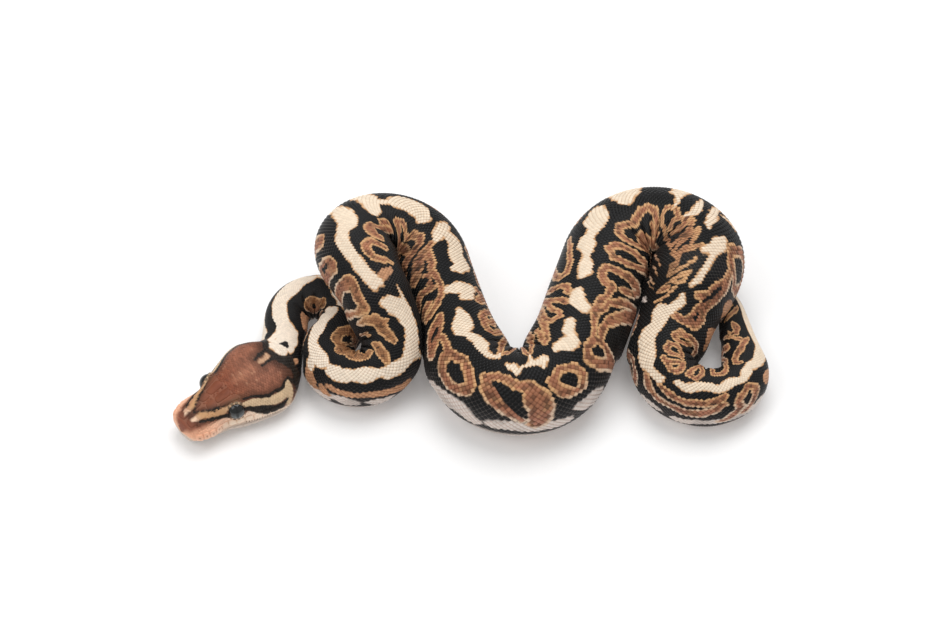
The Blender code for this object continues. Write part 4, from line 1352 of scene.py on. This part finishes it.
def lay_rounds(name, form, plate, points, outward, lengthwise, radius, height, along, turn):
    """Small rounded scales, each set square to the skin at its own place."""
    shape = plate[0]
    sideways = np.cross(outward, lengthwise)
    sideways /= np.linalg.norm(sideways, axis=1)[:, None]
    lengthwise = np.cross(sideways, outward)
    across = radius[:, None, None] * shape[None, :, 1:2] * sideways[:, None, :]
    run = radius[:, None, None] * shape[None, :, 0:1] * lengthwise[:, None, :]
    rise = (height[:, None] * shape[None, :, 2] - 0.06)[..., None] * outward[:, None, :]
    corners = points[:, None, :] + run + across + rise
    grain = np.random.default_rng(9).uniform(0.0, 1.0, len(points))
    spots = [np.repeat(values, len(shape)) for values in (along, turn)]
    return join_plates(name, form, plate, corners, along, turn, plate_colours(plate, *spots, grain))


def lay_grains(form, body, plate):
    """The small scales of the face, the front of the crown and the chin."""
    along, turn = scatter_grains(form)
    along, turn, radius = spread_out(form, along, turn)
    points = form.place(along, turn, np.zeros(len(along)))
    outward = form.sample(form.normals, along, turn)
    outward /= np.linalg.norm(outward, axis=1)[:, None]
    side = np.abs((turn + 180.0) % 360.0 - 180.0)
    keep = ~in_shields(along, turn)
    keep &= (np.abs(side - MOUTH_TURN) > 2.0) | (along > MOUTH_END)
    keep &= np.hypot(along - NOSTRIL[0], (side - NOSTRIL[1]) * TURN_MM) > NOSTRIL_ROOM
    for eye in (-1, 1):
        middle, gaze, _, _ = eye_frame(body, eye)
        away = points - middle
        distance = np.linalg.norm(away, axis=1)
        turned = np.degrees(np.arccos(np.clip(away @ gaze / distance, -1.0, 1.0)))
        keep &= (turned > EYE_OPENING + 19.0) | (distance > 5.5)
    down = form.sample(form.down, along, turn)
    radius = np.minimum(radius, 0.36) * 1.06
    height = 0.46 * radius
    chosen = [values[keep] for values in (points, outward, down, radius, height, along, turn)]
    return lay_rounds("coat_head", form, plate, *chosen)


def lay_lids(form, body, plate):
    """The ring of scales round each eye."""
    rows = np.flatnonzero((form.along > LID_ROWS[0]) & (form.along < LID_ROWS[1]))
    ground = form.points[rows][:, :-1].reshape(-1, 3)
    ground_along = np.repeat(form.along[rows], len(form.turn) - 1)
    ground_turn = np.tile(form.turn[:-1], len(rows))
    points = []
    outward = []
    run = []
    for side in (-1, 1):
        middle, gaze, backward, upward = eye_frame(body, side)
        for number in range(LID_SCALES):
            angle = math.tau * (number + 0.5) / LID_SCALES
            round_eye = math.cos(angle) * backward + math.sin(angle) * upward
            opening = math.radians(EYE_OPENING + LID_RING)
            direction = math.cos(opening) * gaze + math.sin(opening) * round_eye
            points.append(middle + (EYE_RADIUS + LID_THICKNESS - 0.06) * direction)
            outward.append(direction)
            run.append(-math.sin(angle) * backward + math.cos(angle) * upward)
    points = np.array(points)
    nearest = [int(np.argmin(((ground - point) ** 2).sum(axis=1))) for point in points]
    radius = np.full(len(points), LID_SCALE_RADIUS)
    height = np.full(len(points), LID_SCALE_RISE)
    lids = lay_rounds("coat_lids", form, plate, points, np.array(outward), np.array(run), radius,
                      height, ground_along[nearest], ground_turn[nearest])
    shade = np.zeros(4 * len(lids.data.vertices), np.float32)
    marking = lids.data.color_attributes["marking"].data
    marking.foreach_get("color", shade)
    shade = shade.reshape(-1, 4)
    shade[:, :3] = 0.3 * shade[:, :3] + 0.7 * LID_DARK
    marking.foreach_set("color", shade.ravel())
    return lids


def lay_scutes(form, body):
    """Wide belly plates, each lapping over the next towards the tail."""
    starts = np.arange(SCUTE_START, body.length - 3.0, 0.01)
    size = SCUTE_LENGTH * (body.at(starts, body.radius) / SCALE_GIRTH) ** 0.5
    count = np.concatenate([[0.0], np.cumsum(0.01 / size[1:])])
    along = np.interp(np.arange(0.0, count[-1], 1.0), count, starts)
    length = np.interp(along, starts, size)
    profile = np.array(SCUTE_PROFILE)
    columns = np.linspace(BELLY_EDGE - 1.0, 361.0 - BELLY_EDGE, SCUTE_COLUMNS)
    x = along[:, None, None] + length[:, None, None] * profile[None, :, 0, None] + 0.0 * columns
    turn = columns + 0.0 * x
    rise = 1.0 - np.abs(np.linspace(-1.0, 1.0, SCUTE_COLUMNS)) ** 12
    height = profile[None, :, 1, None] * rise - 0.04 + 0.0 * x
    points = form.place(x, turn, height)
    rows = len(profile)
    cell = np.arange(rows)[:, None] * SCUTE_COLUMNS + np.arange(SCUTE_COLUMNS - 1)[None, :]
    after = (np.arange(rows)[:, None] + 1) % rows * SCUTE_COLUMNS
    after = after + np.arange(SCUTE_COLUMNS - 1)[None, :]
    quads = np.stack([cell, after, after + 1, cell + 1], axis=-1).reshape(-1, 4)
    near_end = np.arange(rows)[::-1] * SCUTE_COLUMNS
    far_end = np.arange(rows) * SCUTE_COLUMNS + SCUTE_COLUMNS - 1
    template = np.concatenate([quads.ravel(), near_end, far_end])
    one = np.concatenate([np.full(len(quads), 4), [rows, rows]])
    total = rows * SCUTE_COLUMNS
    loops = (template[None, :] + total * np.arange(len(along))[:, None]).ravel()
    u = (x / form.along[-1]).reshape(len(along), -1)[:, template].ravel()
    v = ((turn + 180.0) / 360.0 % 1.0).reshape(len(along), -1)[:, template].ravel()
    grain = np.repeat(np.random.default_rng(4).uniform(0.0, 1.0, len(along)), total)
    edge = np.tile(np.repeat(profile[:, 2], SCUTE_COLUMNS), len(along))
    # Painted shade at each belly plate's root and under its lapped free edge.
    colours = rim_shaded(colour_at(x.ravel(), turn.ravel(), grain), edge)
    return build_mesh("coat_belly", points.reshape(-1, 3), loops, np.tile(one, len(along)),
                      np.column_stack([u, v]), colours)


class Value:
    """A number on a shader socket, worked with Python's own signs."""

    def __init__(self, tree, socket):
        self.tree = tree
        self.socket = socket

    def worked(self, operation, first, second):
        """A Math node on two numbers or sockets."""
        node = self.tree.nodes.new("ShaderNodeMath")
        node.operation = operation
        for entry, value in zip(node.inputs, (first, second)):
            if isinstance(value, Value):
                self.tree.links.new(value.socket, entry)
            else:
                entry.default_value = value
        return Value(self.tree, node.outputs[0])

    def __add__(self, other):
        return self.worked("ADD", self, other)

    __radd__ = __add__

    def __mul__(self, other):
        return self.worked("MULTIPLY", self, other)

    __rmul__ = __mul__


class Finish:
    """A material under construction."""

    def __init__(self, name, specular):
        self.material = bpy.data.materials.new(name)
        self.material.use_nodes = True
        self.tree = self.material.node_tree
        self.shader = self.tree.nodes["Principled BSDF"]
        self.shader.inputs["Specular IOR Level"].default_value = specular
        self.place = self.node("ShaderNodeTexCoord", {}, {}).outputs["Object"]
        self.marking = self.node("ShaderNodeAttribute", {"attribute_name": "marking"}, {}).outputs["Color"]

    def node(self, kind, settings, inputs):
        """Any node, with its settings first and then the values or links of its sockets."""
        node = self.tree.nodes.new(kind)
        for name, value in settings.items():
            setattr(node, name, value)
        for name, value in inputs.items():
            if isinstance(value, Value):
                value = value.socket
            if isinstance(value, bpy.types.NodeSocket):
                self.tree.links.new(value, node.inputs[name])
            else:
                node.inputs[name].default_value = value
        return node

    def noise(self, scale, detail):
        """Smooth noise from 0 to 1 with this many waves to the metre."""
        inputs = {"Vector": self.place, "Scale": scale, "Detail": detail}
        return Value(self.tree, self.node("ShaderNodeTexNoise", {}, inputs).outputs[0])

    def cells(self, scale):
        """Distance to the nearest of many small cells, from 0 at each one's middle."""
        inputs = {"Vector": self.place, "Scale": scale}
        return Value(self.tree, self.node("ShaderNodeTexVoronoi", {}, inputs).outputs["Distance"])

    def shaded(self, colour, share, paint):
        """A colour multiplied by a paint, by a share."""
        settings = {"data_type": "RGBA", "blend_type": "MULTIPLY"}
        node = self.node("ShaderNodeMix", settings, {0: share, 6: colour, 7: paint})
        return node.outputs[2]

    def finished(self, colour, roughness, height, depth, strength):
        """Wire colour, roughness and relief to the shader."""
        self.tree.links.new(colour, self.shader.inputs["Base Color"])
        self.tree.links.new(roughness.socket, self.shader.inputs["Roughness"])
        inputs = {"Height": height, "Distance": depth, "Strength": strength}
        bump = self.node("ShaderNodeBump", {}, inputs)
        self.tree.links.new(bump.outputs[0], self.shader.inputs["Normal"])
        return self.material


def scale_finish(name, roughness):
    """Dry glossy horn, slightly mottled, with fine growth lines."""
    finish = Finish(name, 0.17)
    fine = finish.noise(5200.0, 3.0)
    cloud = finish.noise(240.0, 2.0)
    lines = finish.noise(1500.0, 5.0)
    colour = finish.shaded(finish.marking, fine * 0.55, (0.72, 0.70, 0.68, 1.0))
    dull = roughness + 0.16 * cloud + 0.14 * fine
    return finish.finished(colour, dull, fine * 0.5 + lines, 0.00005, 0.35)


def skin_finish():
    """Soft skin between the scales, finely wrinkled."""
    finish = Finish("soft_skin", 0.15)
    wrinkle = finish.cells(2600.0)
    fine = finish.noise(4000.0, 3.0)
    colour = finish.shaded(finish.marking, fine * 0.7, (0.6, 0.56, 0.54, 1.0))
    dull = 0.5 + 0.2 * fine
    return finish.finished(colour, dull, wrinkle + 0.5 * fine, 0.00008, 0.5)


def eye_finish():
    """Wet dark eye."""
    finish = Finish("wet_eye", 0.55)
    fleck = finish.noise(2600.0, 4.0)
    colour = finish.shaded(finish.marking, fleck * 0.8, (0.45, 0.48, 0.52, 1.0))
    dull = 0.03 + 0.04 * fleck
    return finish.finished(colour, dull, fleck, 0.00001, 0.05)


def build_eye(name, body, side):
    """Eyeball turned to look out of its lids, with an iris and an upright slit pupil, and a lower half
    painted lighter grey as a painted reflection of the pale floor.
    """
    low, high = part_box(name)
    radius = (high - low).x / 2
    middle, gaze, backward, upward = eye_frame(body, side)
    bpy.ops.object.select_all(action="DESELECT")
    bpy.ops.mesh.primitive_uv_sphere_add(segments=72, ring_count=60, radius=1.0)
    eye = bpy.context.object
    eye.name = name + "_ball"
    bpy.ops.object.mode_set(mode="EDIT")
    bpy.ops.mesh.select_all(action="SELECT")
    bpy.ops.mesh.normals_make_consistent(inside=False)
    bpy.ops.object.mode_set(mode="OBJECT")
    points = np.array([vertex.co for vertex in eye.data.vertices])
    across = points[:, 0]
    rise = points[:, 1]
    front = smoothstep(0.2, 0.5, points[:, 2])
    slit = smoothstep(0.20, 0.12, np.abs(across) / np.maximum(1.0 - (rise / 0.72) ** 2, 0.05))
    pupil = slit * smoothstep(0.76, 0.66, np.abs(rise)) * front
    ring = smoothstep(0.62, 0.80, np.hypot(across, rise))
    # Painted reflection: the lower half of the eye is lightened towards grey.
    colours = EYE_DARK + (EYE_FLOOR_REFLECTION - EYE_DARK) * smoothstep(0.25, -0.45, rise)[:, None]
    colours = lay_over(colours, 0.8 * ring, EYE_DARK)
    colours = lay_over(colours, pupil, PUPIL)
    shade = eye.data.color_attributes.new("marking", "FLOAT_COLOR", "POINT")
    shade.data.foreach_set("color", np.column_stack([colours, np.ones(len(colours))]).ravel())
    axes = np.array([side * backward, upward, gaze]).T
    turned = points @ axes.T * radius + middle * MM
    eye.data.vertices.foreach_set("co", turned.astype(np.float32).ravel())
    eye.data.shade_smooth()
    eye.data.materials.append(eye_finish())
    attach(eye, "root")
    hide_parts(name)


def set_stage():
    """Pale floor, soft light, and the camera."""
    bpy.ops.object.select_all(action="DESELECT")
    bpy.ops.mesh.primitive_plane_add(size=6.0)
    floor = bpy.context.object
    floor.name = "floor"
    finish = Finish("pale_floor", 0.2)
    speck = finish.noise(900.0, 2.0)
    finish.shader.inputs["Base Color"].default_value = (*FLOOR_COLOUR, 1.0)
    finish.shader.inputs["Emission Color"].default_value = (1.0, 1.0, 1.0, 1.0)
    finish.shader.inputs["Emission Strength"].default_value = FLOOR_GLOW
    finish.tree.links.new((0.86 + 0.06 * speck).socket, finish.shader.inputs["Roughness"])
    floor.data.materials.append(finish.material)
    world = bpy.data.worlds.new("studio")
    bpy.context.scene.world = world
    world.use_nodes = True
    world.node_tree.nodes["Background"].inputs["Color"].default_value = (1, 1, 1, 1)
    world.node_tree.nodes["Background"].inputs["Strength"].default_value = ROOM_LIGHT
    for place, size, power in SOFTBOXES:
        lamp = bpy.data.lights.new("softbox", "AREA")
        lamp.size = size
        lamp.energy = power
        thing = bpy.data.objects.new("softbox", lamp)
        thing.location = place
        thing.rotation_euler = (-Vector(place)).to_track_quat("-Z", "Y").to_euler()
        bpy.context.scene.collection.objects.link(thing)
    lens = bpy.data.cameras.new("camera")
    lens.lens = CAMERA_LENS
    lens.sensor_width = 36.0
    camera = bpy.data.objects.new("camera", lens)
    away = Vector((0, -math.cos(CAMERA_TILT), math.sin(CAMERA_TILT)))
    camera.location = Vector(CAMERA_AIM) + away * CAMERA_DISTANCE
    camera.rotation_euler = (-away).to_track_quat("-Z", "Y").to_euler()
    bpy.context.scene.collection.objects.link(camera)
    bpy.context.scene.camera = camera
    bpy.context.scene.view_settings.view_transform = "Standard"


def settle(piece, material):
    """Give a piece its finish and its place in the record."""
    piece.data.materials.append(material)
    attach(piece, "root")


def main():
    """Skin, scales, eyes and stage."""
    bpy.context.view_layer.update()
    body = Body()
    form = Form(body)
    skin = build_skin(form)
    settle(skin, skin_finish())
    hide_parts(*[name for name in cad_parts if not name.startswith("eye_")])
    round_plate = model_plate(8, 0.82, ((0.28, 0.30),))
    wide_plate = squared(model_plate(16, 0.93, ((0.14, 0.25), (0.42, 0.12), (0.18, 0.02))), 5.0)
    horn = scale_finish("scale", 0.24)
    head_horn = scale_finish("head_scale", 0.30)
    lattice = Lattice(body, form)
    back_plate = sharpened(round_plate)
    for number in range(COAT_PIECES):
        low = number * len(lattice.along) // COAT_PIECES
        mine = slice(low, (number + 1) * len(lattice.along) // COAT_PIECES)
        piece = lay_scales(f"coat_{number + 1}", form, back_plate, lattice.along[mine],
                           lattice.turn[mine], lattice.length[mine], lattice.row_turn)
        settle(piece, horn)
    settle(lay_scutes(form, body), horn)
    upper, others = all_shields()
    pits = [number % (len(upper) // 2) in HEAT_PITS for number in range(len(upper))]
    lips = lay_shields("coat_upper_lips", form, wide_plate, upper, pits, LIP_RISE, 1.0)
    settle(lips, head_horn)
    none = [False] * len(others)
    plates = lay_shields("coat_plates", form, wide_plate, others, none, SHIELD_RISE, SHIELD_SPREAD)
    settle(plates, head_horn)
    settle(lay_grains(form, body, round_plate), head_horn)
    settle(lay_lids(form, body, round_plate), head_horn)
    build_eye("eye_right", body, -1)
    build_eye("eye_left", body, 1)
    set_stage()


main()
